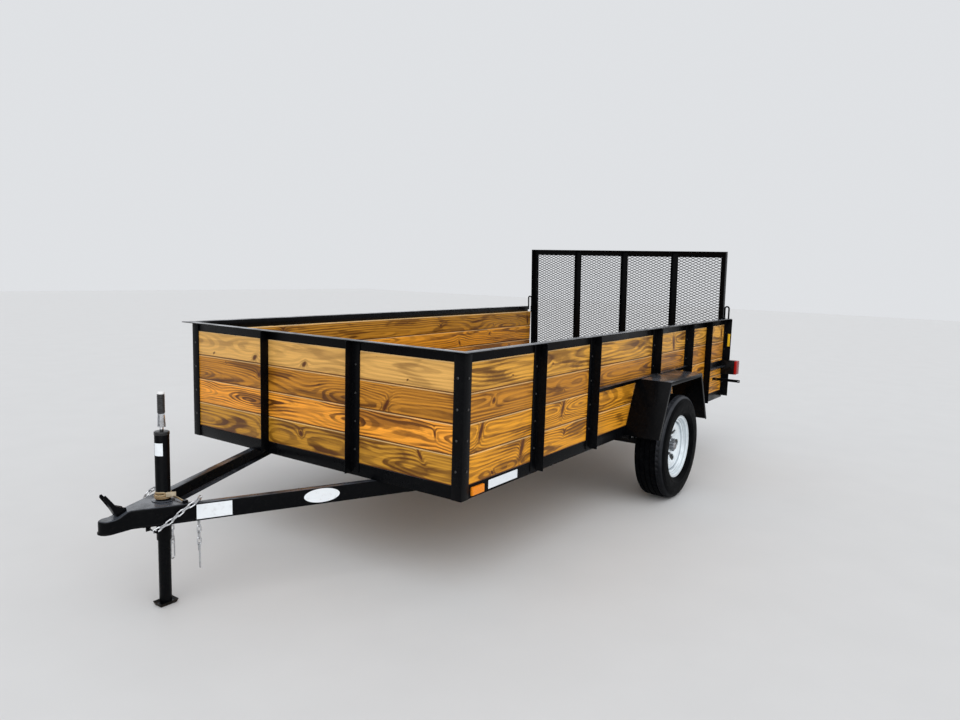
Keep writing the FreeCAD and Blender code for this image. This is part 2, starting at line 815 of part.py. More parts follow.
def leaf_spring():
    # Stacked leaves bent to one centre above the axle, the top leaf rolled into an eye at each end
    r_inner = spring_radius()
    y0 = spring_place() - spring_width / 2
    base = seat_top() + leaf_count * leaf_thickness
    leaves = []
    for k in range(leaf_count):
        share = 1 - leaf_step * k
        angle = asin(spring_span / 2 * share / r_inner)
        r1, r2 = r_inner + k * leaf_thickness, r_inner + (k + 1) * leaf_thickness
        zc = base + r_inner

        def at(r, t):
            return V(axle_x + r * sin(t), y0, zc - r * cos(t))

        edges = [Part.Arc(at(r1, -angle), at(r1, 0), at(r1, angle)).toShape(),
                 Part.LineSegment(at(r1, angle), at(r2, angle)).toShape(),
                 Part.Arc(at(r2, angle), at(r2, 0), at(r2, -angle)).toShape(),
                 Part.LineSegment(at(r2, -angle), at(r1, -angle)).toShape()]
        leaves.append(Part.Face(Part.Wire(edges)).extrude(V(0, spring_width, 0)))
    for side in (-1, 1):
        x = axle_x + side * spring_span / 2
        leaves.append(rod(eye_radius, (x, y0, eye_height()), (x, y0 + spring_width, eye_height())))
    spring = joined(leaves)
    for side in (-1, 1):
        x = axle_x + side * spring_span / 2
        spring = spring.cut(rod(eye_bore, (x, y0, eye_height()), (x, y0 + spring_width, eye_height())))
    return spring


def hanger(x, bolt_z):
    # Folded bracket under the frame: a top plate, two cheeks and the bolt through them
    y, w, t = spring_place(), spring_width / 2 + 1.5, hanger_wall
    l = hanger_length / 2
    low = bolt_z - 16
    top = frame_clearance
    bracket = block(x - l, x + l, y - w - t, y + w + t, low, top)
    bracket = bracket.cut(block(x - l, x + l, y - w, y + w, low, top - t))
    for side in (-1, 1):
        y0, y1 = sorted((y + side * w, y + side * (w + t)))
        taper = 14
        bracket = bracket.cut(prism([(x - l, y0, low), (x - l + taper, y0, low), (x - l, y0, top - t)],
                                    (0, y1 - y0, 0)))
        bracket = bracket.cut(prism([(x + l, y0, low), (x + l, y0, top - t), (x + l - taper, y0, low)],
                                    (0, y1 - y0, 0)))
    bolt = rod(bolt_radius, (x, y - w - t - 5, bolt_z), (x, y + w + t + 5, bolt_z))
    return joined([bracket, bolt])


def shackle_bolt():
    # The rear spring eye hangs on straps from a bolt set further back
    drop = frame_clearance - hanger_wall - 18 - eye_height()
    rear = sqrt(max(shackle_length ** 2 - drop ** 2, 1))
    return axle_x - spring_span / 2 - rear, eye_height() + drop


def hangers():
    xb, zb = shackle_bolt()
    return [hanger(axle_x + spring_span / 2, eye_height()), hanger(xb, zb)]


def shackle():
    xb, zb = shackle_bolt()
    xe, ze = axle_x - spring_span / 2, eye_height()
    y = spring_place()
    gap, t = 1.5 + hanger_wall + 0.5, 6.0
    angle = atan2(ze - zb, xe - xb)
    r = 13.0
    n = V(-sin(angle) * r, 0, cos(angle) * r)
    straps = []
    for side in (-1, 1):
        y0 = y + side * (spring_width / 2 + gap) - (t if side < 0 else 0)
        body = prism([(xb + n.x, y0, zb + n.z), (xe + n.x, y0, ze + n.z), (xe - n.x, y0, ze - n.z),
                      (xb - n.x, y0, zb - n.z)], (0, t, 0))
        strap = joined([body, rod(r, (xb, y0, zb), (xb, y0 + t, zb)), rod(r, (xe, y0, ze), (xe, y0 + t, ze))])
        straps.append(strap.cut(rod(bolt_radius + 0.2, (xb, y0, zb), (xb, y0 + t, zb))))
    reach = spring_width / 2 + gap + t
    bolt = rod(bolt_radius, (xe, y - reach, ze), (xe, y + reach, ze))
    return joined(straps + [bolt])


def axle_clamp():
    # Spring seat on the axle, plate over the leaves and two U-bolts round the tube
    y = spring_place()
    top = seat_top() + leaf_count * leaf_thickness
    w = spring_width / 2 + ubolt_radius + 1
    plate = block(axle_x - clamp_length / 2, axle_x + clamp_length / 2, y - w - 7, y + w + 7, top,
                  top + clamp_plate)
    reach = axle_radius + ubolt_radius + 0.3
    seat = block(axle_x - reach + ubolt_radius + 1, axle_x + reach - ubolt_radius - 1, y - spring_width / 2,
                 y + spring_width / 2, tyre_radius + axle_radius * 0.6, seat_top())
    seat = seat.cut(rod(axle_radius, (axle_x, y - ANY, tyre_radius), (axle_x, y + ANY, tyre_radius)))
    bend = spring_radius()
    above_leaf = rod(bend, (axle_x, y - w - 8, top + bend), (axle_x, y + w + 8, top + bend))
    pieces = [plate.common(above_leaf)]
    for side in (-1, 1):
        yb = y + side * w
        z1 = top + clamp_plate + 14
        for sx in (-1, 1):
            x = axle_x + sx * reach
            pieces.append(rod(ubolt_radius, (x, yb, tyre_radius), (x, yb, z1)))
            pieces.append(hexagonal(ubolt_radius * 1.8, (x, yb, top + clamp_plate), (0, 0, 10)))
        pieces.append(bent(ubolt_radius, reach, (axle_x, yb, tyre_radius), 1, 180))
    return [joined(pieces), seat]


def tyre():
    # Half section from bead to crown on each side, spun about the axle
    w, r = tyre_width / 2, tyre_radius
    bead = rim_radius + 0.3
    b = rim_width / 2 - rim_wall - 1
    flange = rim_radius + rim_flange
    c = (axle_x, tyre_centre, tyre_radius)

    def at(a, radius):
        return V(c[0], c[1] + a, c[2] + radius)

    def line(p, q):
        return Part.LineSegment(at(*p), at(*q)).toShape()

    def arc(p, q, s):
        return Part.Arc(at(*p), at(*q), at(*s)).toShape()

    bulge = (w, flange + 0.42 * (r - flange))
    shoulder = (0.78 * w, r - 5)
    edges = [
        line((-b, bead), (b, bead)),
        line((b, bead), (b, flange + 2)),
        arc((b, flange + 2), bulge, shoulder),
        arc(shoulder, (0, r), (-shoulder[0], shoulder[1])),
        arc((-shoulder[0], shoulder[1]), (-bulge[0], bulge[1]), (-b, flange + 2)),
        line((-b, flange + 2), (-b, bead)),
    ]
    return Part.Face(Part.Wire(edges)).revolve(V(*c), V(0, 1, 0), 360)


def rim():
    # Barrel with rolled lips and a drop centre, its front stepped, and a dished disc with windows
    w, r, t, f = rim_width / 2, rim_radius, rim_wall, rim_flange
    c = (axle_x, tyre_centre, tyre_radius)
    well, inner = r - rim_drop, r - rim_drop - t
    face = w - disc_inset
    dish = face - disc_dish
    outer = [(-w, r + f), (-w + t, r + f), (-w + t, r), (well_rear - well_slope, r), (well_rear, well),
             (well_front, well), (well_front + well_slope, r), (w - t, r), (w - t, r + f)]
    front = [(w - back, r + f - inward) for back, inward in rim_steps]
    disc_front = [(face - disc_edge, inner), (face - t, (inner + crown_radius) / 2), (face, crown_radius),
                  (face, crown_inner), (face - t, crown_inner - t), (dish, dish_radius), (dish, disc_bore)]
    disc_back = [(dish - t, disc_bore), (dish - t, dish_radius - t), (face - 2 * t, crown_inner - t),
                 (face - t, crown_inner), (face - t, crown_radius - t), (face - disc_edge - 2 * t, inner)]
    back = [(well_rear, inner), (well_rear - well_slope, r - t), (-w, r - t)]
    wheel = turned(outer + front + disc_front + disc_back + back, c)
    end = window_depth / 2
    reach = (window_width - window_depth) / 2
    z = tyre_radius + window_circle
    x0, x1, y0, y1 = axle_x - reach, axle_x + reach, tyre_centre, tyre_centre + w
    for i in range(window_count):
        window = joined([block(x0, x1, y0, y1, z - end, z + end), rod(end, (x0, y0, z), (x0, y1, z)),
                         rod(end, (x1, y0, z), (x1, y1, z))])
        window.rotate(V(*c), V(0, 1, 0), window_turn + 360 * i / window_count)
        wheel = wheel.cut(window)
    return wheel


def hub():
    # Hub body, mounting flange, dust cap and wheel nuts
    c = (axle_x, tyre_centre, tyre_radius)
    gap = 0.3
    face = rim_width / 2 - disc_inset - disc_dish - rim_wall
    bore = spindle_radius + bearing_clearance
    end = spindle_reach + 2
    start = half + tyre_frame_gap - tyre_centre
    cap_round = 6.0
    body = [(start, bore), (start, hub_radius), (face - hub_flange, hub_radius),
            (face - hub_flange, hub_flange_radius), (face - gap, hub_flange_radius), (face - gap, cap_radius),
            (face + cap_length, cap_radius - cap_round / 2),
            (face + cap_length + cap_round, cap_radius - 1.5 * cap_round),
            (face + cap_length + cap_round, 0), (end, 0), (end, bore)]
    nuts = []
    for i in range(lug_count):
        a = radians(window_turn) + 2 * pi * (i + 0.5) / lug_count
        x, z = axle_x + lug_circle * sin(a), tyre_radius + lug_circle * cos(a)
        nuts.append(hexagonal(lug_radius, (x, tyre_centre + face + rim_wall + gap, z), (0, lug_length, 0)))
    return [turned(body, c)] + nuts


def gate_places():
    step = (2 * gate_side - gate_wall) / gate_bays
    return [-gate_side + gate_wall / 2 + step * i for i in range(gate_bays + 1)]


def gate_frame():
    # Angle ring: the flat leg of each side is at the back, the other leg runs forward at the edge
    y0, y1 = -gate_side, gate_side
    z0, z1 = gate_low, gate_low + gate_height
    x0, x1 = hinge_x - gate_bar / 2, hinge_x + gate_bar / 2
    ring = block(x0, x1, y0, y1, z0, z1)
    w = gate_wall
    ring = ring.cut(block(x0 + w, x1, y0 + w, y1 - w, z0 + w, z1 - w))
    return ring.cut(block(x0, x1, y0 + gate_bar, y1 - gate_bar, z0 + gate_bar, z1 - gate_bar))


def gate_uprights():
    # Angles standing in the frame, one leg flat on the mesh and the other toward the front
    z0 = gate_low + gate_wall
    z1 = z0 + gate_height - 2 * gate_wall
    bars = []
    x0 = hinge_x - gate_bar / 2 + gate_wall + mesh_thickness
    x1 = hinge_x + gate_bar / 2
    for y in gate_places()[1:-1]:
        flat = block(x0, x0 + gate_wall, y, y + gate_bar, z0, z1)
        bars.append(joined([flat, block(x0, x1, y, y + gate_wall, z0, z1)]))
    return bars


def gate_mesh():
    # Expanded sheet against the back of the frame's flat legs, its diamonds lying lengthwise
    y0, y1 = -gate_side + gate_wall, gate_side - gate_wall
    z0 = gate_low + gate_wall
    z1 = z0 + gate_height - 2 * gate_wall
    x0 = hinge_x - gate_bar / 2 + gate_wall
    sheet = block(x0, x0 + mesh_thickness, y0, y1, z0, z1)
    dy, dz = mesh_long, mesh_short
    hy, hz = dy / 2 - mesh_strand * 1.1, dz / 2 - mesh_strand * 0.55
    rows = int((z1 - z0) / (dz / 2))
    holes = []
    y_mid, z_mid = (y0 + y1) / 2, (z0 + z1) / 2
    edge = gate_bar - gate_wall
    limit = block(x0 - 1, x0 + mesh_thickness + 1, y0 + edge, y1 - edge, z0 + edge, z1 - edge)
    cols = int((y1 - y0) / dy) + 2
    for i in range(-rows // 2 - 1, rows // 2 + 2):
        for j in range(-cols // 2 - 1, cols // 2 + 2):
            y = y_mid + (j + (0.5 if i % 2 else 0)) * dy
            z = z_mid + i * dz / 2
            if z + hz < z0 + edge or z - hz > z1 - edge or y + hy < y0 + edge or y - hy > y1 - edge:
                continue
            holes.append(prism([(x0 - 1, y - hy, z), (x0 - 1, y, z - hz), (x0 - 1, y + hy, z),
                                (x0 - 1, y, z + hz)], (mesh_thickness + 2, 0, 0)))
    cutter = Part.makeCompound(holes).common(limit)
    return sheet.cut(cutter)


def hinge_places():
    y = half - hinge_inset
    return [-y + 2 * y * i / (hinge_count - 1) for i in range(hinge_count)]


def hinge_barrels():
    # Tubes under the gate's bottom bar, each on a saddle
    barrels = []
    for y in hinge_places():
        l = hinge_barrel_length / 2
        body = rod(hinge_barrel_radius, (hinge_x, y - l, hinge_z), (hinge_x, y + l, hinge_z))
        x0 = hinge_x - hinge_saddle / 2
        saddle = block(x0, x0 + hinge_saddle, y - l, y + l, hinge_z, gate_low)
        body = joined([body, saddle])
        bore = hinge_pin_radius + hinge_clearance
        barrels.append(body.cut(rod(bore, (hinge_x, y - l, hinge_z), (hinge_x, y + l, hinge_z))))
    return barrels


def hinge_ears():
    # Two ears on the rear face of the frame and the pin between them
    ears = []
    r = hinge_barrel_radius - 2
    low, high = frame_clearance + hinge_ear_foot, deck_top - hinge_ear_foot
    for y in hinge_places():
        l = hinge_barrel_length / 2 + 1
        parts = []
        for side in (-1, 1):
            y0, y1 = sorted((y + side * l, y + side * (l + hinge_ear_wall)))
            parts.append(prism([(tail_x, y0, low), (tail_x, y0, high), (hinge_x, y0, hinge_z + 0.7 * r),
                                (hinge_x, y0, hinge_z - r)], (0, y1 - y0, 0)))
            parts.append(rod(r, (hinge_x, y0, hinge_z), (hinge_x, y1, hinge_z)))
        reach = l + hinge_ear_wall + 4
        parts.append(rod(hinge_pin_radius, (hinge_x, y - reach, hinge_z), (hinge_x, y + reach, hinge_z)))
        ears.append(joined(parts))
    return ears


def gate_latch():
    # Bent rod in a sleeve on the gate's edge: up, round a bend and down behind the rear post
    r = keeper_rod_radius
    sleeve = r + keeper_sleeve_wall
    y_in = gate_side + sleeve
    y_out = y_in + keeper_spread
    bend = keeper_spread / 2
    x = hinge_x
    high = rail_top + keeper_rise - bend - r
    low_in, low_out = rail_top + keeper_sleeve_low, rail_top + keeper_low
    top_in = rail_top + keeper_sleeve_high
    sleeve_tube = rod(sleeve, (x, y_in, low_in), (x, y_in, top_in))
    backing = block(x - sleeve, x + sleeve, gate_side, y_in, low_in, top_in)
    corners = []
    for i in range(8):
        a = pi * (i + 0.5) / 4
        corners.append(V(x + r * cos(a), y_in + r * sin(a), high))
    section = Part.Face(Part.makePolygon(corners + corners[:1]))
    top = section.revolve(V(x, y_in + bend, high), V(1, 0, 0), -180)
    legs = [rod(r, (x, y_in, low_in), (x, y_in, high)), rod(r, (x, y_out, low_out), (x, y_out, high))]
    return joined([sleeve_tube, backing, top] + legs)


def lamp_bar():
    # Angle from the last side post to the lamp's plate
    x1 = -side_posts[4][0] - post_leg
    x0 = tail_x + lamp_place
    top = rail_top - lamp_drop
    low = top - lamp_bar_height
    bar = block(x0, x1, half, half + angle_wall, low, top)
    return joined([bar, block(x0, x1, half, half + post_leg - angle_wall, low, low + angle_wall)])


def lamp_box():
    # Housing outboard of the rear post, on a plate with two studs forward
    x1 = tail_x + lamp_place
    top = rail_top - lamp_drop
    low = top - lamp_height
    plate = block(x1 - lamp_plate, x1, half, half + lamp_reach, low, top)
    box = block(x1 - lamp_depth, x1, half + post_leg + 1, half + lamp_reach, low, top)
    parts = [plate, box]
    z = top - lamp_stud_drop
    for place in lamp_studs:
        y = half + place
        parts.append(rod(lamp_stud_radius, (x1, y, z), (x1 + 10, y, z)))
        parts.append(rod(lamp_nut_radius, (x1, y, z), (x1 + 5, y, z)))
    return joined(parts)


def lamp_lens():
    x1 = tail_x + lamp_place - lamp_depth
    top = rail_top - lamp_drop
    return block(x1 - lens_depth, x1, half + post_leg + 1, half + lamp_reach, top - lamp_height, top)


def plate_bracket():
    # Bent strip standing out from the side boards, with two holes for a number plate
    z1 = rail_top - plate_bar_drop
    z0 = z1 - plate_bar_height
    x = tail_x + plate_bar_place
    t = plate_bar_wall
    arm = block(x, x + t, half, half + plate_bar_reach, z0, z1)
    strip = joined([arm, block(x, x + plate_bar_foot, half, half + t, z0, z1)])
    y_far = half + plate_bar_reach - plate_hole_edge
    for y in (y_far, y_far - plate_hole_spacing):
        strip = strip.cut(rod(plate_hole_radius, (x, y, (z0 + z1) / 2), (x + t, y, (z0 + z1) / 2)))
    return strip


def marker_lamp():
    x, z = -marker_place, frame_clearance + frame_height / 2
    lamp = block(x - marker_length / 2, x + marker_length / 2, half, half + marker_depth,
                 z - marker_height / 2, z + marker_height / 2)
    return lamp.makeFillet(5, [e for e in lamp.Edges if abs(e.CenterOfMass.y - half - marker_depth) < 0.1])


def reflector():
    # On the forward face of the rear post's standing leg
    top = rail_top - reflector_drop
    y0 = half + reflector_inset
    x = tail_x + angle_wall
    return block(x, x + reflector_depth, y0, y0 + reflector_width, top - reflector_height, top)


pieces = {
    "main_frame": main_frame(),
    "crossmembers": crossmembers(),
    "deck_boards": deck_boards(),
    "front_boards": front_boards(),
    "side_boards": both_sides(side_boards()),
    "top_rail": top_rail(),
    "corner_posts": both_sides(corner_post()),
    "front_posts": both_sides(front_post()),
    "side_posts": both_sides(side_post_set()),
    "fender_rails": both_sides(fender_rail()),
    "fenders": both_sides(fender()),
    "tongue_members": both_sides(tongue_member()),
    "coupler": coupler(),
    "coupler_latch": coupler_latch(),
    "jack_tube": jack_outer(),
    "jack_cap": jack_cap(),
    "jack_clevis": jack_clevis(),
    "jack_grip": jack_grip(),
    "jack_leg": jack_leg(),
    "jack_foot": jack_foot(),
    "safety_chains": chain(chain_left_way, chain_left_links) + chain(chain_right_way, chain_right_links),
    "chain_hooks": [chain_hook(chain_left_way, chain_left_links),
                    chain_hook(chain_right_way, chain_right_links)],
    "chain_bolts": both_sides(chain_bolt()),
    "lead_tube": lead_tube(),
    "lead_coil": lead_coil(),
    "lead_plug": lead_plug(),
    "lead_clip": lead_clip_block(),
    "axle_beam": axle_beam(),
    "leaf_springs": both_sides(leaf_spring()),
    "spring_hangers": both_sides(hangers()),
    "spring_shackles": both_sides(shackle()),
    "axle_clamps": both_sides(axle_clamp()),
    "tyre_left": tyre(),
    "rim_left": rim(),
    "hub_left": hub(),
    "gate_frame": leaning(gate_frame()),
    "gate_uprights": [leaning(bar) for bar in gate_uprights()],
    "gate_mesh": leaning(gate_mesh()),
    "gate_latches": both_sides(leaning(gate_latch())),
    "hinge_barrels": [leaning(barrel) for barrel in hinge_barrels()],
    "hinge_ears": hinge_ears(),
    "lamp_bars": both_sides(lamp_bar()),
    "lamp_boxes": both_sides(lamp_box()),
    "lamp_lenses": both_sides(lamp_lens()),
    "plate_bracket": plate_bracket(),
    "marker_lamps": both_sides(marker_lamp()),
    "reflectors": both_sides(reflector()),
}

for name, shape in pieces.items():
    save(name, shape)
    if name.endswith("_left"):
        solids = shape if isinstance(shape, list) else [shape]
        save(name.replace("_left", "_right"), [mirrored(s) for s in solids])
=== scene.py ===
import json
from math import cos, pi, radians, sin

import bpy
from mathutils import Matrix, Vector

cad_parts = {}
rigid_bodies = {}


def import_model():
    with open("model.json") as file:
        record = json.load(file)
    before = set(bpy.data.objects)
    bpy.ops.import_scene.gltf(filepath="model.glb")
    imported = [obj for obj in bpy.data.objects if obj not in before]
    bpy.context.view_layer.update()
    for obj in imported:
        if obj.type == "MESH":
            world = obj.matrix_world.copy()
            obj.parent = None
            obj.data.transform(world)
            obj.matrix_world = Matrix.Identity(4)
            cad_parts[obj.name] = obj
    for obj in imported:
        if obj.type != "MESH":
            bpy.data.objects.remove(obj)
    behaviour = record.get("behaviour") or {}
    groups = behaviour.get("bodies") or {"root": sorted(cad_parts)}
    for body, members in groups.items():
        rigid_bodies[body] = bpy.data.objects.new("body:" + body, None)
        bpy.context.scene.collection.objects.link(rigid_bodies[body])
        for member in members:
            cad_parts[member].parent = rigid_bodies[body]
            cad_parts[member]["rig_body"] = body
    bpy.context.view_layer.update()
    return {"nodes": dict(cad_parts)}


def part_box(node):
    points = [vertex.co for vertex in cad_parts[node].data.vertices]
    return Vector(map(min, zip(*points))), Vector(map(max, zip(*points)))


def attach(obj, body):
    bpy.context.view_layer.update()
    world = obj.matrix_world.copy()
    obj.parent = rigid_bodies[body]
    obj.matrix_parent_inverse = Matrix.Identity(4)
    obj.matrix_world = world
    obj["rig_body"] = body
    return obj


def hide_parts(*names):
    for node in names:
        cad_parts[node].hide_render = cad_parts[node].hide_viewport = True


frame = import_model()

# The camera stands ahead of the trailer's left front corner at eye height and looks back along it,
# a little downward. Its focal length is in pixels of the 960 by 720 photograph.
photo_width = 960
focal_pixels = 729.9
eye = (3.8555, 2.8111, 1.4782)
yaw, pitch, roll = radians(215.0), radians(-7.13), radians(1.70)
forward = Vector((cos(pitch) * cos(yaw), cos(pitch) * sin(yaw), sin(pitch)))
right = Vector((sin(yaw), -cos(yaw), 0))
up = right.cross(forward)
right, up = cos(roll) * right + sin(roll) * up, cos(roll) * up - sin(roll) * right
camera = bpy.data.objects.new("camera", bpy.data.cameras.new("camera"))
bpy.context.scene.collection.objects.link(camera)
camera.matrix_world = Matrix.Translation(eye) @ Matrix((right, up, -forward)).transposed().to_4x4()
camera.data.lens = focal_pixels / photo_width * camera.data.sensor_width
bpy.context.scene.camera = camera


# The lamps' lead: four insulated wires moulded side by side into a flat ribbon. It leaves a clip on
# the left tongue member, is wound round the jack's tube and ends in a flat moulded connector.
class Socket:
    """A socket of a material's nodes. Sums on it add Math nodes, and add makes any other node."""

    def __init__(self, tree, link=None):
        self.tree = tree
        self.link = link

    def add(self, kind, settings, values, output=0):
        """Makes a node, with its settings first and then the values or links of its sockets."""
        node = self.tree.nodes.new("ShaderNode" + kind)
        for name, setting in settings.items():
            if name == "stops":
                ramp = node.color_ramp
                for place, colour in setting[1:-1]:
                    ramp.elements.new(place).color = (*colour, 1)
                ends = ((ramp.elements[0], setting[0]), (ramp.elements[-1], setting[-1]))
                for element, (place, colour) in ends:
                    element.position = place
                    element.color = (*colour, 1)
            else:
                setattr(node, name, setting)
        for name, value in values.items():
            if isinstance(value, Socket):
                self.tree.links.new(value.link, node.inputs[name])
            else:
                node.inputs[name].default_value = value
        return Socket(self.tree, node.outputs[output])

    def other(self, output):
        """Another output of the same node."""
        return Socket(self.tree, self.link.node.outputs[output])

    def math(self, operation, *values):
        return self.add("Math", {"operation": operation}, dict(enumerate((self, *values))))

    def __add__(self, value):
        return self.math("ADD", value)

    __radd__ = __add__

    def __mul__(self, value):
        return self.math("MULTIPLY", value)

    __rmul__ = __mul__

    def __sub__(self, value):
        return self.math("SUBTRACT", value)

    def __rsub__(self, value):
        return self.math("MULTIPLY_ADD", -1.0, value)

    def __truediv__(self, value):
        return self.math("DIVIDE", value)

    def between(self, low, high):
        """0 below low, 1 above high and even in between."""
        return self.add("MapRange", {}, {0: self, 1: low, 2: high, 3: 0.0, 4: 1.0})

    def ramp(self, *stops):
        """Colours at places from 0 to 1, blended between them."""
        return self.add("ValToRGB", {"stops": stops}, {0: self})

    def mix(self, first, second):
        """The first colour where this is 0 and the second where it is 1."""
        return self.add("Mix", {"data_type": "RGBA"}, {0: self, 6: first, 7: second}, 2)

    def times(self, x, y, z):
        """Coordinates scaled by an amount for each axis."""
        return self.add("VectorMath", {"operation": "MULTIPLY"}, {0: self, 1: (x, y, z)})

    def noise(self, scale, detail=2.0, **values):
        return self.add("TexNoise", {}, {"Vector": self, "Scale": scale, "Detail": detail, **values})

    def bump(self, distance, strength=1.0):
        return self.add("Bump", {}, {"Height": self, "Distance": distance, "Strength": strength})


def rgb(red, green, blue):
    """An opaque colour."""
    return (red, green, blue, 1)


def named(socket):
    """A shader socket's name from its name in a call."""
    return socket.replace("_", " ").title().replace("Ior", "IOR")


def new_finish(name, **settings):
    """A material with these settings on its shader's own sockets, and its object coordinates."""
    material = bpy.data.materials.new(name)
    material.use_nodes = True
    for socket, value in settings.items():
        material.node_tree.nodes["Principled BSDF"].inputs[named(socket)].default_value = value
    return material, Socket(material.node_tree).add("TexCoord", {}, {}, "Object")


def drive(material, **links):
    """Joins sockets to the sockets of the material's shader."""
    shader = material.node_tree.nodes["Principled BSDF"]
    for socket, value in links.items():
        material.node_tree.links.new(value.link, shader.inputs[named(socket)])


def wear(piece, material, body="chassis"):
    """Gives a new piece its finish in a material slot, and the body that it moves with."""
    piece.data.materials.clear()
    piece.data.materials.append(material)
    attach(piece, body)


lead_run = ((2.1231, 0.0970, 0.4695), (2.1231, 0.0790, 0.4695), (2.1191, 0.0560, 0.4715),
            (2.1186, 0.0240, 0.4730), (2.1236, -0.0058, 0.4740))
jack_x = 2.15807
wire_radius, wire_count, wire_sides = 0.00115, 4, 8
coil_reach, coil_low, coil_rise = 0.0338, 0.4730, 0.0290
coil_from, coil_to = radians(189.5), radians(59 + 3 * 360)
coil_points = 46
plug_reach, plug_height = 0.0349, 0.494
route = list(lead_run)
for number in range(1, coil_points + 1):
    share = number / coil_points
    angle = coil_from + share * (coil_to - coil_from)
    reach = coil_reach + 0.0024 * max(0, 1 - 7 * share) + 0.0012 * sin(1.6 * angle)
    height = coil_low + coil_rise * share + 0.0012 * sin(1.3 * angle)
    route.append((jack_x + reach * cos(angle), reach * sin(angle), height))
plug_ahead = Vector((-sin(coil_to), cos(coil_to), 0))
plug_middle = Vector((jack_x + plug_reach * cos(coil_to), plug_reach * sin(coil_to), plug_height))
route.append(plug_middle + 0.006 * plug_ahead + Vector((0, 0, 0.006)))
route.append(plug_middle + 0.014 * plug_ahead + Vector((0, 0, 0.004)))
lead_line = bpy.data.curves.new("lead_line", "CURVE")
lead_line.dimensions = "3D"
spline = lead_line.splines.new("NURBS")
spline.points.add(len(route) - 1)
for point, place in zip(spline.points, route):
    point.co = (*place, 1)
spline.order_u = 3
spline.use_endpoint_u = True
spline.resolution_u = 6
line_object = bpy.data.objects.new("lead_line", lead_line)
bpy.context.scene.collection.objects.link(line_object)
bpy.context.view_layer.update()
lead_path = [vertex.co.copy() for vertex in bpy.data.meshes.new_from_object(line_object).vertices]
bpy.data.objects.remove(line_object)

corners, walls, wire_number = [], [], []
for row in range(wire_count):
    first = len(corners)
    for number, place in enumerate(lead_path):
        before, after = lead_path[max(number - 1, 0)], lead_path[min(number + 1, len(lead_path) - 1)]
        ahead = (after - before).normalized()
        aside = ahead.cross(Vector((0, 0, 1))).normalized()
        along_path = number / (len(lead_path) - 1)
        twist = 0.95 * sin(pi * min(1, along_path * 1.04)) ** 2 + 0.25 * sin(23 * along_path)
        aside, above = (cos(twist) * aside + sin(twist) * aside.cross(ahead),
                        cos(twist) * aside.cross(ahead) - sin(twist) * aside)
        middle = place + (row - (wire_count - 1) / 2) * 2 * wire_radius * above
        for side in range(wire_sides):
            turn = 2 * pi * side / wire_sides
            corners.append(middle + wire_radius * (cos(turn) * aside + sin(turn) * above))
            wire_number.append(row / (wire_count - 1))
    for ring in range(len(lead_path) - 1):
        for side in range(wire_sides):
            a = first + ring * wire_sides + side
            b = first + ring * wire_sides + (side + 1) % wire_sides
            walls.append((a, a + wire_sides, b + wire_sides, b))
    walls.append(tuple(range(first, first + wire_sides)))
    walls.append(tuple(reversed(range(len(corners) - wire_sides, len(corners)))))
ribbon = bpy.data.objects.new("lead_ribbon", bpy.data.meshes.new("lead_ribbon"))
ribbon.data.from_pydata(corners, [], walls)
bpy.context.scene.collection.objects.link(ribbon)
ribbon.data.attributes.new("wire", "FLOAT", "POINT").data.foreach_set("value", wire_number)
for face in ribbon.data.polygons:
    face.use_smooth = True
insulation, place = new_finish("insulation")
colour = place.add("Attribute", {"attribute_name": "wire"}, {}, "Fac").ramp(
    (0.0, (0.42, 0.27, 0.12)), (0.33, (0.14, 0.075, 0.03)), (0.67, (0.52, 0.38, 0.20)),
    (1.0, (0.62, 0.50, 0.32)))
grime = place.noise(160, 4)
drive(insulation, base_color=grime.between(0.35, 0.9).mix(colour, rgb(0.22, 0.15, 0.08)),
      roughness=grime * 0.3 + 0.3)
wear(ribbon, insulation)
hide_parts("lead_tube", "lead_coil")


def start(kind, name, **settings):
    """Adds a primitive with nothing else selected, its place and size put into its mesh."""
    bpy.ops.object.select_all(action="DESELECT")
    scale = settings.pop("scale", (1, 1, 1))
    getattr(bpy.ops.mesh, f"primitive_{kind}_add")(**settings)
    piece = bpy.context.object
    piece.name = name
    piece.scale = scale
    bpy.ops.object.transform_apply(location=True, rotation=True, scale=True)
    return piece


def alone(piece):
    """Selects a piece and nothing else."""
    bpy.ops.object.select_all(action="DESELECT")
    piece.select_set(True)
    bpy.context.view_layer.objects.active = piece


def choose(piece, test):
    """Opens a piece for editing with only the faces selected whose centre and normal pass the test."""
    alone(piece)
    bpy.context.tool_settings.mesh_select_mode = (False, False, True)
    bpy.ops.object.mode_set(mode="EDIT")
    bpy.ops.mesh.select_all(action="DESELECT")
    bpy.ops.object.mode_set(mode="OBJECT")
    for face in piece.data.polygons:
        face.select = test(face.center, face.normal)
    bpy.ops.object.mode_set(mode="EDIT")


def modify(piece, kind, **settings):
    """Adds a modifier and applies it."""
    alone(piece)
    modifier = piece.modifiers.new(kind, kind)
    for name, setting in settings.items():
        setattr(modifier, name, setting)
    bpy.ops.object.modifier_apply(modifier=modifier.name)


def smooth(piece, angle=35):
    """Rounds the shading where faces meet at less than the angle."""
    alone(piece)
    bpy.ops.object.shade_smooth_by_angle(angle=radians(angle))


def joined(name, pieces):
    """Makes several pieces one."""
    alone(pieces[0])
    for piece in pieces:
        piece.select_set(True)
    bpy.ops.object.join()
    pieces[0].name = name
    return pieces[0]


def block(name, low, high, ease, segments=2):
    """A block between two corners, with its edges rounded."""
    middle = [(a + b) / 2 for a, b in zip(low, high)]
    piece = start("cube", name, size=1, location=middle, scale=[b - a for a, b in zip(low, high)])
    modify(piece, "BEVEL", width=ease, segments=segments)
    return piece


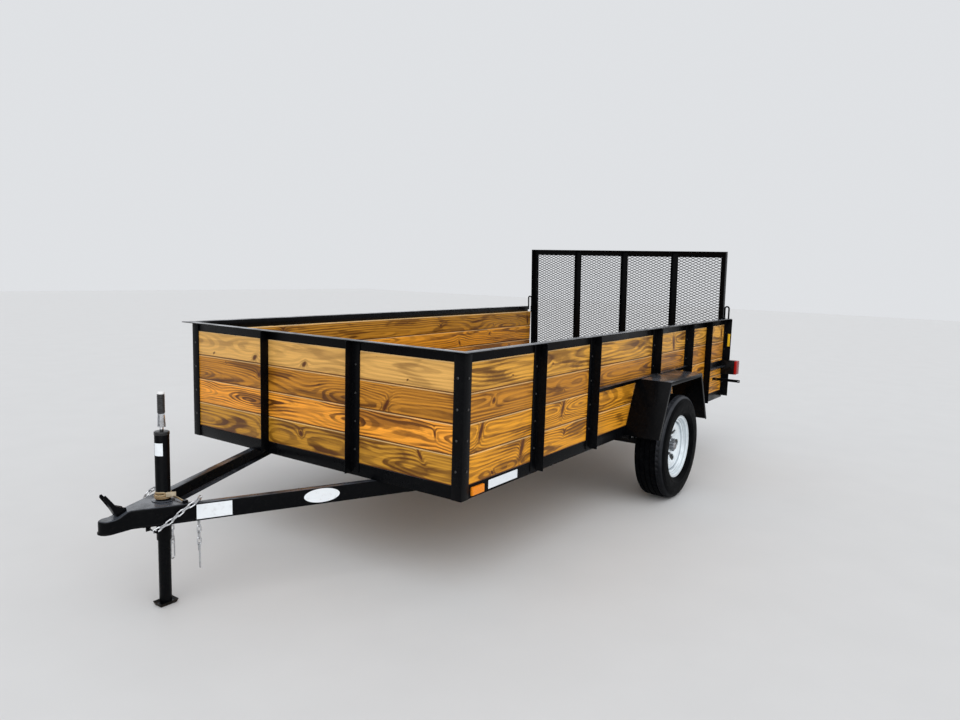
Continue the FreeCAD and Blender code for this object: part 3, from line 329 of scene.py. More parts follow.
connector = block("lead_connector", (-0.0045, 0.0, -0.0080), (0.0045, 0.040, 0.0105), 0.0016)
ribs, rib_pitch = [], 0.006
for i in range(4):
    shift = rib_pitch * i
    ribs.append(block("rib", (-0.0052, 0.006 + shift, -0.0088), (0.0052, 0.009 + shift, 0.0112), 0.0008))
joined("lead_connector", [connector] + ribs)
connector.data.transform(Matrix.Translation(plug_middle + 0.010 * plug_ahead)
                         @ Matrix.Rotation(coil_to, 4, "Z"))
smooth(connector)
moulding, place = new_finish("moulding")
stain = place.noise(90, 4)
drive(moulding, base_color=stain.between(0.3, 0.8).mix(rgb(0.50, 0.42, 0.30), rgb(0.30, 0.24, 0.16)),
      roughness=stain * 0.3 + 0.35)
wear(connector, moulding)
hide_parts("lead_plug")


def copied(name, piece):
    """A copy of a piece with its own mesh."""
    copy = bpy.data.objects.new(name, piece.data.copy())
    bpy.context.scene.collection.objects.link(copy)
    return copy


def eased(nodes, width, segments=2, angle=38):
    """Closed copies of CAD nodes with rounded edges. Each stands for its node, on the same body."""
    for node in nodes:
        source = frame["nodes"][node]
        piece = copied(node + "_eased", source)
        alone(piece)
        bpy.ops.mesh.customdata_custom_splitnormals_clear()
        bpy.ops.object.mode_set(mode="EDIT")
        bpy.ops.mesh.select_all(action="SELECT")
        bpy.ops.mesh.remove_doubles(threshold=0.00002)
        bpy.ops.mesh.dissolve_limited(angle_limit=radians(0.5))
        bpy.ops.object.mode_set(mode="OBJECT")
        if width:
            modify(piece, "BEVEL", width=width, segments=segments, limit_method="ANGLE",
                   angle_limit=radians(angle))
        smooth(piece, angle)
        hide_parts(node)
        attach(piece, source["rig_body"])
        dressed[node] = piece


def finish_with(material, nodes):
    """Puts a material on nodes, or on the pieces that stand for them."""
    for node in nodes:
        piece = dressed.get(node, frame["nodes"][node])
        piece.data.materials.clear()
        piece.data.materials.append(material)


def coated(name, colour, faded, roughness, wet):
    """Sprayed or baked paint: orange peel, dull patches, and a film of rain on what faces up, glossier there
    and lightened by a painted sky reflection.
    """
    material, place = new_finish(name, specular_ior_level=0.06, coat_roughness=0.22)
    film = place.noise(7, 5, Roughness=0.6).between(0.42, 0.6)
    dust = place.noise(55, 6, Roughness=0.7).between(0.5, 0.8)
    facing_up = place.other("Normal")
    facing_up = facing_up.add("SeparateXYZ", {}, {0: facing_up}, "Z").between(0.6, 0.95)
    # What faces up, in the rain film's patches, is lightened to a bluish grey: a painted reflection of the
    # sky.
    painted_sky_share = facing_up * (film * 0.6 + 0.25)
    paint = dust.mix(rgb(*colour), rgb(*faded))
    drive(material, base_color=painted_sky_share.mix(paint, rgb(0.085, 0.095, 0.115)),
          roughness=roughness - film * wet + dust * 0.12, coat_weight=facing_up * (film * 0.5 + 0.5),
          normal=(place.noise(380, 2) + place.noise(60, 2) * 1.5).bump(0.0004, 0.35))
    return material


dressed = {}
powder_coat = coated("powder_coat", (0.0016, 0.0018, 0.0024), (0.0050, 0.0051, 0.0055), 0.34, 0.14)
eased(("main_frame", "crossmembers"), 0.0018)
finish_with(powder_coat, ("main_frame", "crossmembers"))


# Deck: planed pine planks 38 mm thick, laid lengthwise on the crossmembers with their tops level
# with the frame. Boards of the front and sides: the same pine, four high, sawn flat across the log.
def pine(name, along, across, first, pitch, sides, tones, light, dark, knot):
    """Flat-sawn pine: rings cut along a wandering pith, round and spiked knots, a tone for each board."""
    material, place = new_finish(name, specular_ior_level=0.22)
    axes = place.add("SeparateXYZ", {}, {0: place})
    length, height = axes.other(along), axes.other(across)
    board = ((height - first) / pitch).math("FLOOR")
    cross = height - first - (board + 0.5) * pitch
    if sides:
        board = board + axes.other("Y").between(-0.001, 0.001) * sides
    last = len(tones) - 1
    tone = (board / last).ramp(*((i / last, colour) for i, colour in enumerate(tones)))
    chance = place.add("TexWhiteNoise", {"noise_dimensions": "1D"}, {"W": board * 1.37 + len(name)}, "Color")
    chance = chance.add("SeparateColor", {}, {0: chance})
    length = length + chance.other("Red") * 3

    # Knots: one in each stretch of a board, at a chance place, round or drawn out to a spike.
    stretch = 0.37
    column = (length / stretch).math("FLOOR")
    spot = place.add("CombineXYZ", {}, {0: column, 1: board, 2: float(len(name))})
    spot = spot.add("TexWhiteNoise", {"noise_dimensions": "3D"}, {"Vector": spot}, "Color")
    spot = spot.add("SeparateColor", {}, {0: spot})
    size = spot.other("Blue").between(0.3, 0.95) * 0.0160 + 0.0004
    down = cross - (spot.other("Green") - 0.5) * 0.1
    lean = spot.other("Green") * 1.4 - 0.7
    over = length - (column + 0.2 + spot.other("Red") * 0.6) * stretch + down * lean
    spike = spot.other("Red").between(0.4, 0.7)
    wobble = place.noise(45, 3) * 0.5 + 0.75
    away = (over * over + (down * (1.0 - spike * 0.66)).math("POWER", 2.0)).math("SQRT") * wobble / size

    # Rings: their distance from a pith that wanders under the face, bent round the knots.
    flow = place.add("CombineXYZ", {}, {0: length, 1: cross, 2: board * 0.73 + 5.0})
    depth = flow.times(1.0, 3.0, 1.0).noise(1.4, 1.0, Distortion=0.5).between(0.3, 0.72) * 0.07 + 0.002
    drift = cross - (chance.other("Green") - 0.5) * 0.11
    ripple = (flow.times(3.2, 15.0, 1.0).noise(1.0, 3.0) * 0.013
              + flow.times(16.0, 60.0, 1.0).noise(1.0, 2.0) * 0.0025)
    bend = size * 3.6 / (away * away * 0.6 + 1.0)
    ring_width = chance.other("Blue") * 0.007 + 0.0105
    rings = ((drift * drift + depth * depth).math("SQRT") + bend + ripple) / ring_width
    year = rings.math("FLOOR") * 0.37 + board * 5.1
    year = year.add("TexWhiteNoise", {"noise_dimensions": "1D"}, {"W": year})
    late = rings.math("FRACT").ramp((0.0, (0.35,) * 3), (0.07, (0.0,) * 3), (0.42, (0.04,) * 3),
                                    (0.56, (0.85,) * 3), (0.92, (1.0,) * 3), (1.0, (0.35,) * 3))
    fibre = flow.times(9.0, 560.0, 1.0).noise(1.0, 3.0)
    streak = flow.times(2.5, 130.0, 1.0).noise(1.0, 4.0)
    patch = flow.times(1.7, 9.0, 1.0).noise(1.5, 4.0, Distortion=0.5)

    # Colour: late wood, streaks and patches darken it, less on a board whose tone is pale.
    calm = tone.add("SeparateColor", {}, {0: tone}, "Blue").between(1.8, 3.6) * 0.6
    figure = late * (year * 0.4 + 0.6) * (patch.between(0.38, 0.55) * 0.65 + 0.35) * (1.0 - calm)
    wood = place.add("Mix", {"data_type": "RGBA", "blend_type": "MULTIPLY"},
                     {0: 1.0, 6: rgb(*light), 7: tone}, 2)
    wood = (streak.between(0.4, 0.7) * 0.45 * (1.0 - calm)).mix(wood, rgb(*dark))
    wood = (patch.between(0.55, 0.61) * 0.6 * (1.0 - calm)).mix(wood, rgb(*dark))
    wood = figure.mix(wood, rgb(*dark))
    wood = (fibre.between(0.45, 0.75) * 0.2).mix(wood, rgb(*dark))
    core = away.between(1.3, 0.8)
    wood = (away.between(2.4, 1.0) * 0.4).mix(wood, rgb(*dark))
    wood = (core * 0.9).mix(wood, rgb(*knot))
    wood = (away.between(0.45, 0.15) * 0.5).mix(wood, rgb(0.035, 0.011, 0.004))
    from_middle = cross / pitch
    # A painted highlight along each board's upper edge, where the planed corner meets the light.
    wood = (from_middle.between(0.450, 0.462) * 0.5).mix(wood, rgb(0.90, 0.62, 0.30))
    # Painted shadow, with some dirt, along each board's lower edge in the gap to the next board.
    wood = (from_middle.between(-0.448, -0.470) * 0.85).mix(wood, rgb(*knot))
    drive(material, base_color=wood, roughness=0.44 - late * 0.12 + fibre * 0.12 - core * 0.1,
          normal=(late * 0.5 - fibre * 0.7 - core * 0.5).bump(0.0006, 0.5))
    return material


frame_top, board_pitch, plank_pitch = 0.5215, 0.1385, 0.193
light_wood, dark_wood, knot_wood = (0.95, 0.42, 0.036), (0.075, 0.020, 0.002), (0.09, 0.021, 0.003)
light_plank, dark_plank = (0.84, 0.46, 0.090), (0.16, 0.065, 0.012)
olive, orange, brown = (0.64, 0.69, 0.74), (1.15, 1.01, 1.10), (0.66, 0.61, 0.62)
pale, gold, straw = (0.90, 1.13, 3.5), (0.94, 0.90, 0.64), (0.95, 1.06, 1.7)
side_tones = (gold, brown, gold, olive, gold, gold, brown, straw)
front_tones = (olive, orange, brown, pale)
plank_tones = (gold, brown, olive, straw, gold, brown, straw, olive, gold, brown)
eased(("front_boards", "side_boards", "deck_boards"), 0.0042, 3)
deck_low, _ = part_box("deck_boards")
finish_with(pine("pine_side", "X", "Z", frame_top, board_pitch, 4, side_tones,
                 light_wood, dark_wood, knot_wood), ["side_boards"])
finish_with(pine("pine_front", "Y", "Z", frame_top, board_pitch, 0, front_tones,
                 light_wood, dark_wood, knot_wood), ["front_boards"])
finish_with(pine("pine_deck", "X", "Y", deck_low.y, plank_pitch, 0, plank_tones,
                 light_plank, dark_plank, knot_wood), ["deck_boards"])

# Posts and rail: steel angle welded to the frame outside the boards, and a rail of angle on top with
# its flat leg outward. A self-drilling screw through each post holds each board.
walls_steel = ("corner_posts", "front_posts", "side_posts", "top_rail", "fender_rails")
eased(walls_steel, 0.0022)
finish_with(powder_coat, walls_steel)


def repeated(name, pattern, placings):
    """Copies a pattern's mesh to each placing and joins the copies. The pattern itself goes."""
    copies = []
    for placing in placings:
        copy = copied(name, pattern)
        copy.data.transform(placing)
        copies.append(copy)
    bpy.data.objects.remove(pattern)
    return joined(name, copies)


def facing(direction):
    """Turns what was made along +Z to a direction, keeping its own up near the world's."""
    return Vector(direction).to_track_quat("Z", "Y").to_matrix().to_4x4()


def screw_head(name):
    """A low domed head with a round recess."""
    head = start("cylinder", name, vertices=16, radius=0.0058, depth=0.0022, location=(0, 0, 0.0011))
    choose(head, lambda centre, normal: normal.z > 0.9)
    bpy.ops.mesh.inset(thickness=0.0014, depth=0.0009)
    bpy.ops.mesh.inset(thickness=0.0014, depth=0.0004)
    bpy.ops.mesh.inset(thickness=0.0006, depth=-0.0012)
    bpy.ops.object.mode_set(mode="OBJECT")
    smooth(head, 50)
    return head


post_wall = 0.0048
front_x, side_y = 1.35307, 0.978
front_screws = (-0.9500, -0.3364, 0.3364, 0.9500)
corner_setback, fender_setback, fender_rail_top = 0.029, 2.1296, 0.83
side_setbacks = (corner_setback, 0.6025, 1.2106, fender_setback, 2.7546, 3.2304, 3.6826)
screw_places = []
for height in [frame_top + board_pitch * (i + 0.5) for i in range(4)]:
    for y in front_screws:
        screw_places.append(((front_x + post_wall, y, height), (1, 0, 0)))
    for setback in side_setbacks:
        if setback == fender_setback and height < fender_rail_top:
            continue
        for side in (-1, 1):
            screw_places.append(((front_x - setback, side * (side_y + post_wall), height), (0, side, 0)))
screws = repeated("post_screws", screw_head("post_screws"),
                  [Matrix.Translation(place) @ facing(out) for place, out in screw_places])
blackened, place = new_finish("blackened_screw", metallic=1.0)
spot = place.noise(300, 3)
drive(blackened, base_color=spot.between(0.4, 0.8).mix(rgb(0.05, 0.05, 0.052), rgb(0.17, 0.165, 0.16)),
      roughness=spot * 0.3 + 0.15)
wear(screws, blackened)

# Tongue: two channels meeting under the coupler, a pressed coupler shell welded over their ends with
# a folded latch lever on its slope and a cup for the hitch ball in its nose, and a clip for the lead.
tongue_steel = ("tongue_members", "coupler_latch", "lead_clip")
eased(tongue_steel, 0.0016)
finish_with(powder_coat, tongue_steel)
coupler_low, coupler_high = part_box("coupler")
rear_half, throat_half = 0.1337, 0.0336
throat_x, nose_x = 2.3180, 2.4338
lip_top = coupler_low.z + 0.0095
slope_low = 0.43
slope = ((2.3330, 0.0028), (2.3480, 0.0095), (2.3650, 0.0175), (2.3811, 0.0215), (nose_x, 0.0220))
lip_steps = ((0.0035, 0.0034), (0.0060, 0.0003))
nose_round, top_round, shell_wall = 0.0332, 0.0085, 0.0042


def choose_edges(piece, test):
    """Opens a piece for editing with only the edges selected whose two ends pass the test."""
    alone(piece)
    bpy.context.tool_settings.mesh_select_mode = (False, True, False)
    bpy.ops.object.mode_set(mode="EDIT")
    bpy.ops.mesh.select_all(action="DESELECT")
    bpy.ops.object.mode_set(mode="OBJECT")
    corners = piece.data.vertices
    for edge in piece.data.edges:
        edge.select = test(*(corners[number].co for number in edge.vertices))
    bpy.ops.object.mode_set(mode="EDIT")


shell = start("cube", "coupler_shell", size=1,
              location=((coupler_low.x + throat_x) / 2, 0, (lip_top + coupler_high.z) / 2),
              scale=(throat_x - coupler_low.x, 2 * rear_half, coupler_high.z - lip_top))
choose(shell, lambda centre, normal: normal.x > 0.9)
bpy.ops.transform.resize(value=(1, throat_half / rear_half, 1), center_override=(0, 0, 0))
reached = throat_x
for x, drop in slope:
    bpy.ops.mesh.extrude_region_move(TRANSFORM_OT_translate={"value": (x - reached, 0, 0)})
    reached = x
bpy.ops.object.mode_set(mode="OBJECT")
for x, drop in slope:
    choose_edges(shell, lambda one, two: abs(one.x - x) + abs(two.x - x) < 0.001
                 and min(one.z, two.z) > slope_low)
    bpy.ops.transform.translate(value=(0, 0, -drop))
    bpy.ops.object.mode_set(mode="OBJECT")
choose_edges(shell, lambda one, two: min(one.x, two.x) > nose_x - 0.001 and abs(one.y - two.y) < 0.001)
bpy.ops.mesh.bevel(offset=nose_round, segments=12)
bpy.ops.object.mode_set(mode="OBJECT")
choose(shell, lambda centre, normal: normal.z < -0.9 or normal.x < -0.9)
bpy.ops.mesh.delete(type="FACE")
bpy.ops.object.mode_set(mode="OBJECT")
choose_edges(shell, lambda one, two: min(one.z, two.z) > lip_top + 0.02
             and (one.y * two.y > 0 or min(one.x, two.x) > nose_x - 0.0005))
bpy.ops.mesh.bevel(offset=top_round, segments=5)
bpy.ops.object.mode_set(mode="OBJECT")
choose_edges(shell, lambda one, two: max(one.z, two.z) < lip_top + 0.0001)
for fall, flare in lip_steps:
    bpy.ops.mesh.extrude_region_move(TRANSFORM_OT_translate={"value": (0, 0, -fall)})
    bpy.ops.transform.shrink_fatten(value=flare)
bpy.ops.object.mode_set(mode="OBJECT")
modify(shell, "SOLIDIFY", thickness=shell_wall, offset=-1)
smooth(shell, 45)
modify(shell, "WEIGHTED_NORMAL", keep_sharp=True)
wear(shell, powder_coat)
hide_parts("coupler")


def turned(name, profile, centre, axis, steps, closed=True):
    """Draws a section, as pairs of place along the axis and radius, by extruding a point, and spins it."""
    axis = Vector(axis)
    outward = Vector((1, 0, 0)) if axis.z else Vector((0, 0, 1))
    points = [Vector(centre) + along * axis + radius * outward for along, radius in profile]
    piece = start("plane", name, size=0.0005, location=points[0])
    bpy.ops.object.mode_set(mode="EDIT")
    bpy.context.tool_settings.mesh_select_mode = (True, False, False)
    bpy.ops.mesh.select_all(action="SELECT")
    bpy.ops.mesh.merge(type="CENTER")
    for before, after in zip(points, points[1:] + points[:1] * closed):
        bpy.ops.mesh.extrude_region_move(TRANSFORM_OT_translate={"value": after - before})
    bpy.ops.mesh.select_all(action="SELECT")
    bpy.ops.mesh.remove_doubles(threshold=0.00001)
    bpy.ops.mesh.select_all(action="SELECT")
    bpy.ops.mesh.spin(steps=steps, angle=2 * pi, center=centre, axis=axis)
    bpy.ops.mesh.select_all(action="SELECT")
    bpy.ops.mesh.remove_doubles(threshold=0.00001)
    bpy.ops.mesh.normals_make_consistent(inside=False)
    bpy.ops.object.mode_set(mode="OBJECT")
    smooth(piece)
    return piece


ball_x, ball_z = 2.4001, 0.4110
cup_section = [(-0.0230, 0.0260), (0.0, 0.0260), (0.0130, 0.0225), (0.0225, 0.0130), (0.0260, 0.0),
               (0.0280, 0.0), (0.0245, 0.0140), (0.0140, 0.0245), (0.0, 0.0285), (-0.0230, 0.0285)]
ball_cup = turned("ball_cup", cup_section, (ball_x, 0, ball_z), (0, 0, 1), 32)
wear(ball_cup, powder_coat)
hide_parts("coupler")

# Jack: a steel tube welded through the coupler, a cap and a zinc plated fork on top, a folding handle
# with a ribbed black grip and a pale end cap, and a leg welded to a pressed foot with mud on it.
eased(("jack_tube", "jack_cap", "jack_leg"), 0.0006)
eased(("jack_clevis",), 0.0012)


def plated(name, light, dull):
    """Zinc plate: a bright skin with grey bloom and fine scratches."""
    material, place = new_finish(name, metallic=1.0)
    bloom = place.noise(60, 6, Roughness=0.65).between(0.35, 0.7)
    grain = place.noise(700, 2)
    drive(material, base_color=bloom.mix(rgb(*light), rgb(*dull)),
          roughness=bloom * 0.22 + grain * 0.1 + 0.16, normal=grain.bump(0.0002, 0.3))
    return material


zinc = plated("zinc_plate", (0.66, 0.67, 0.69), (0.40, 0.41, 0.42))
finish_with(powder_coat, ("jack_tube", "jack_leg"))
foot_length, foot_width, foot_height = 0.086, 0.060, 0.017
foot = start("cube", "jack_tray", size=1, location=(jack_x, 0, foot_height / 2),
             scale=(foot_length, foot_width, foot_height))
choose(foot, lambda centre, normal: normal.z < -0.9)
bpy.ops.transform.resize(value=(0.84, 0.80, 1), center_override=(jack_x, 0, 0))
bpy.ops.object.mode_set(mode="OBJECT")
choose(foot, lambda centre, normal: normal.z > 0.9)
bpy.ops.mesh.inset(thickness=0.0035)
bpy.ops.transform.translate(value=(0, 0, -0.0125))
bpy.ops.transform.resize(value=(0.86, 0.82, 1), center_override=(jack_x, 0, 0))
bpy.ops.object.mode_set(mode="OBJECT")
modify(foot, "BEVEL", width=0.0011, segments=2, limit_method="ANGLE", angle_limit=radians(30))
smooth(foot, 40)
muddy = coated("muddy_steel", (0.006, 0.005, 0.004), (0.085, 0.055, 0.030), 0.42, 0.10)
wear(foot, muddy, "jack_leg")
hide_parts("jack_foot")
finish_with(zinc, ("jack_clevis",))
cap_finish, place = new_finish("cap_finish")
paint_ends = 0.7705
above = place.add("SeparateXYZ", {}, {0: place}, "Z").between(paint_ends, paint_ends + 0.001)
bloom = place.noise(60, 6)
plate = bloom.mix(rgb(0.66, 0.67, 0.69), rgb(0.44, 0.45, 0.46))
drive(cap_finish, base_color=above.mix(rgb(0.003, 0.003, 0.0035), plate),
      metallic=above, roughness=bloom * 0.3 + 0.15)
finish_with(cap_finish, ("jack_cap",))
grip_low, grip_radius, groove_radius = 0.8373, 0.0155, 0.0141
rib_first, grip_rib_pitch, grip_ribs = 0.008, 0.0078, 9
grip_section = [(0, 0), (0, 0.0125), (0.003, 0.0152)]
for i in range(grip_ribs):
    low = rib_first + grip_rib_pitch * i
    grip_section += [(low, grip_radius), (low + 0.0050, grip_radius),
                     (low + 0.0058, groove_radius), (low + 0.0070, groove_radius)]
grip_section += [(0.081, grip_radius), (0.0835, grip_radius), (0.0835, 0)]
grip = turned("handle_grip", grip_section, (jack_x, 0, grip_low), (0, 0, 1), 40, closed=False)
tang_half, tang_low = 0.0068, 0.7850
tang = block("handle_tang", (jack_x - tang_half, -tang_half, tang_low),
             (jack_x + tang_half, tang_half, grip_low + 0.002), 0.001)
rubber, place = new_finish("grip_rubber")
scuff = place.noise(130, 5)
drive(rubber, base_color=scuff.between(0.45, 0.8).mix(rgb(0.012, 0.012, 0.013), rgb(0.05, 0.05, 0.05)),
      roughness=0.5 - scuff * 0.25, normal=place.noise(900, 2).bump(0.0002, 0.4))
wear(grip, rubber)
wear(tang, zinc)
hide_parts("jack_grip")
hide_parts("jack_grip")
cap_section = [(0.0832, 0), (0.0832, grip_radius), (0.0885, grip_radius), (0.0918, 0.0138),
               (0.093, 0.0100), (0.093, 0)]
grip_cap = turned("handle_cap", cap_section, (jack_x, 0, grip_low), (0, 0, 1), 40, closed=False)
pale_cap, place = new_finish("pale_cap")
scuff = place.noise(200, 5)
drive(pale_cap, base_color=scuff.between(0.4, 0.9).mix(rgb(0.80, 0.80, 0.80), rgb(0.52, 0.52, 0.51)),
      roughness=scuff * 0.3 + 0.3)
wear(grip_cap, pale_cap)

# Safety chains: welded links of bright zinc wire on a bolt under each tongue member. Each ends in a
# long hook of bent wire with a sprung latch.
eased(("safety_chains", "chain_bolts"), 0)
finish_with(zinc, ("safety_chains",))
finish_with(powder_coat, ("chain_bolts",))
hook_reach = 0.068


def snap_hook(name, knuckle, turn):
    """A hook hanging from a chain's last link: a ring of wire drawn out long, closed by a latch."""
    hook = start("torus", name, major_segments=40, minor_segments=12, major_radius=0.0105,
                 minor_radius=0.0034, rotation=(pi / 2, 0, 0))
    choose(hook, lambda centre, normal: centre.z < -0.0001)
    bpy.ops.transform.translate(value=(0, 0, -hook_reach))
    bpy.ops.object.mode_set(mode="OBJECT")
    latch = block("latch", (0.0070, -0.0024, -0.058), (0.0095, 0.0024, -0.012), 0.0008)
    latch.data.transform(Matrix.Rotation(-0.10, 4, "Y"))
    hook = joined(name, [hook, latch])
    hook.data.transform(Matrix.Translation(knuckle) @ Matrix.Rotation(turn, 4, "Z"))
    smooth(hook, 50)
    return hook


left_knuckle, right_knuckle = (2.0446, 0.0842, 0.2290), (2.0783, -0.0675, 0.2390)
left_hook = snap_hook("left_hook", left_knuckle, radians(60))
right_hook = snap_hook("right_hook", right_knuckle, radians(20))
for hook in (left_hook, right_hook):
    wear(hook, zinc)
    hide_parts("chain_hooks")

# Axle: a round tube with turned spindles, painted black, on two leaf springs. Zinc plated U-bolts
# and shackles hold the springs to the axle and to folded hangers under the frame.
running_gear = ("axle_beam", "leaf_springs")
axle_paint = coated("axle_paint", (0.008, 0.008, 0.009), (0.035, 0.030, 0.026), 0.42, 0.12)
eased(running_gear + ("spring_hangers", "spring_shackles", "axle_clamps"), 0.0008)
finish_with(axle_paint, running_gear)
finish_with(powder_coat, ("spring_hangers",))
finish_with(zinc, ("spring_shackles", "axle_clamps"))

# Tyres: ribbed trailer tyres of black rubber, with four deep grooves and two shallow ones round the
# tread, short slots across its ribs, and raised rings on the sidewalls.
axle_x, wheel_y, wheel_z = -0.80193, 1.1005, 0.344
wheel_centre = (axle_x, wheel_y, wheel_z)
half_section = [
    (0.000, 0.3440), (0.0135, 0.3440), (0.0145, 0.3370), (0.0205, 0.3370), (0.0215, 0.3438),
    (0.0460, 0.3428), (0.0470, 0.3358), (0.0530, 0.3355), (0.0540, 0.3424), (0.0735, 0.3403),
    (0.0742, 0.3375), (0.0772, 0.3368), (0.0780, 0.3388), (0.0830, 0.3364), (0.0880, 0.3300),
    (0.0915, 0.3215), (0.0935, 0.3160), (0.0955, 0.3140), (0.0978, 0.3040), (0.0998, 0.3030),
    (0.1012, 0.2930), (0.1022, 0.2800), (0.1024, 0.2680), (0.1018, 0.2540), (0.1000, 0.2420),
    (0.1005, 0.2380), (0.0990, 0.2350), (0.0950, 0.2280), (0.0925, 0.2220), (0.0905, 0.2205),
    (0.0850, 0.2125), (0.0780, 0.2090), (0.0715, 0.2088), (0.0712, 0.1912), (0.0640, 0.1912),
    (0.0640, 0.2050), (0.0860, 0.2360), (0.0920, 0.2700), (0.0840, 0.3060), (0.0600, 0.3260),
    (0.000, 0.3290)]
tyre_section = half_section + [(-along, radius) for along, radius in half_section[1:-1]][::-1]
tyre_steps = 120
left_tyre = turned("tyre_tread_left", tyre_section, wheel_centre, (0, 1, 0), tyre_steps)
tread_radius, slotted_ribs = 0.339, ((0.022, 0.045), (0.055, 0.073))


def across_rib(centre, normal):
    """Every other face of the slotted ribs, going round the tread."""
    out = Vector((centre.x - axle_x, 0, centre.z - wheel_z))
    if out.length <= tread_radius or abs(normal.y) >= 0.4:
        return False
    step = int((out.angle(Vector((0, 0, 1))) / (2 * pi)) * tyre_steps + (0.0 if out.x > 0 else 0.5))
    return step % 2 == 0 and any(inner < abs(centre.y - wheel_y) < outer for inner, outer in slotted_ribs)


choose(left_tyre, across_rib)
bpy.ops.mesh.inset(thickness=0.0075, depth=-0.0035, use_individual=True)
bpy.ops.object.mode_set(mode="OBJECT")
smooth(left_tyre, 30)
right_tyre = copied("tyre_tread_right", left_tyre)
right_tyre.data.transform(Matrix.Translation((0, -2 * wheel_y, 0)))


def about_axle(place):
    """How far a point of a wheel is from the axle's line, and from the trailer's middle."""
    axes = place.add("SeparateXYZ", {}, {0: place})
    x, z = axes.other("X") - axle_x, axes.other("Z") - wheel_z
    return (x * x + z * z).math("SQRT"), axes.other("Y").math("ABSOLUTE")


tyre_rubber, place = new_finish("tyre_rubber", specular_ior_level=0.015, coat_roughness=0.30)
dust = place.noise(26, 7, Roughness=0.65).between(0.42, 0.75)
from_axle, aside = about_axle(place)
upward = place.other("Normal")
upward = upward.add("SeparateXYZ", {}, {0: upward}, "Z").between(-0.3, 0.5) * 0.85 + 0.15
# The shoulder, more where it faces up, gets a coat and, in its colour, a bluish grey painted sheen varied by
# the noise.
shoulder = from_axle.between(0.320, 0.326) * aside.between(wheel_y + 0.050, wheel_y + 0.056) * upward
painted_shoulder_sheen = (dust * 0.5 + 0.5) * shoulder
black = dust.mix(rgb(0.0014, 0.0016, 0.0022), rgb(0.0050, 0.0052, 0.0056))
drive(tyre_rubber, base_color=painted_shoulder_sheen.mix(black, rgb(0.048, 0.052, 0.062)),
      roughness=dust * 0.25 + 0.40, coat_weight=shoulder * 0.4, normal=place.noise(420, 3).bump(0.0004, 0.4))
wear(left_tyre, tyre_rubber, "wheel_left")
wear(right_tyre, tyre_rubber, "wheel_right")
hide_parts("tyre_left")
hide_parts("tyre_right")

# Rims and hubs: a stepped steel barrel and a dished disc with five windows, sprayed silver, on a
# zinc plated hub with a dust cap and five nuts.
rim_section = [
    (-0.0760, 0.2075), (-0.0720, 0.2075), (-0.0720, 0.1905), (-0.0280, 0.1905), (-0.0160, 0.1685),
    (0.0300, 0.1685), (0.0420, 0.1905), (0.0720, 0.1905), (0.0722, 0.2066), (0.0742, 0.2074),
    (0.0758, 0.2060), (0.0760, 0.2035), (0.0748, 0.2012), (0.0715, 0.1992), (0.0700, 0.1950),
    (0.0695, 0.1890), (0.0672, 0.1865), (0.0560, 0.1852), (0.0520, 0.1838), (0.0505, 0.1795),
    (0.0478, 0.1776), (0.0450, 0.1762), (0.0438, 0.1700), (0.0420, 0.1650), (0.0245, 0.1645),
    (0.0330, 0.1580), (0.0395, 0.1500), (0.0425, 0.1400), (0.0432, 0.1260), (0.0420, 0.1130),
    (0.0385, 0.1060), (0.0250, 0.0860), (0.0160, 0.0735), (0.0133, 0.0680), (0.0130, 0.0315),
    (0.0090, 0.0315), (0.0090, 0.0690), (0.0120, 0.0760), (0.0210, 0.0890), (0.0345, 0.1085),
    (0.0380, 0.1150), (0.0390, 0.1260), (0.0385, 0.1380), (0.0355, 0.1470), (0.0290, 0.1545),
    (0.0190, 0.1600), (-0.0150, 0.1600), (-0.0180, 0.1645), (-0.0290, 0.1865), (-0.0760, 0.1865)]
left_rim = turned("rim_dressed_left", rim_section, wheel_centre, (0, 1, 0), 96)
window_count, window_turn, window_reach = 5, radians(-17), 0.090
window_radius, window_longer = 0.0185, 1.42
windows = []
for i in range(window_count):
    window = start("cylinder", "window", vertices=32, radius=window_radius, depth=0.09,
                   rotation=(pi / 2, 0, 0), scale=(window_longer, 1, 1))
    window.data.transform(Matrix.Translation((axle_x, wheel_y + 0.045, wheel_z))
                          @ Matrix.Rotation(window_turn + 2 * pi * i / window_count, 4, "Y")
                          @ Matrix.Translation((0, 0, window_reach)))
    windows.append(window)
cutter = joined("windows", windows)
modify(left_rim, "BOOLEAN", operation="DIFFERENCE", solver="EXACT", object=cutter)
bpy.data.objects.remove(cutter)
modify(left_rim, "BEVEL", width=0.0008, segments=1, limit_method="ANGLE", angle_limit=radians(60))
smooth(left_rim, 32)
right_rim = copied("rim_dressed_right", left_rim)
right_rim.data.transform(Matrix.Scale(-1, 4, (0, 1, 0)))
right_rim.data.flip_normals()
eased(("hub_left", "hub_right"), 0)
silver, place = new_finish("silver_paint", metallic=0.35, coat_weight=0.35, coat_roughness=0.12)
flake = place.noise(1500, 1)
dirt = place.noise(30, 6, Roughness=0.7).between(0.5, 0.8)
from_axle, _ = about_axle(place)
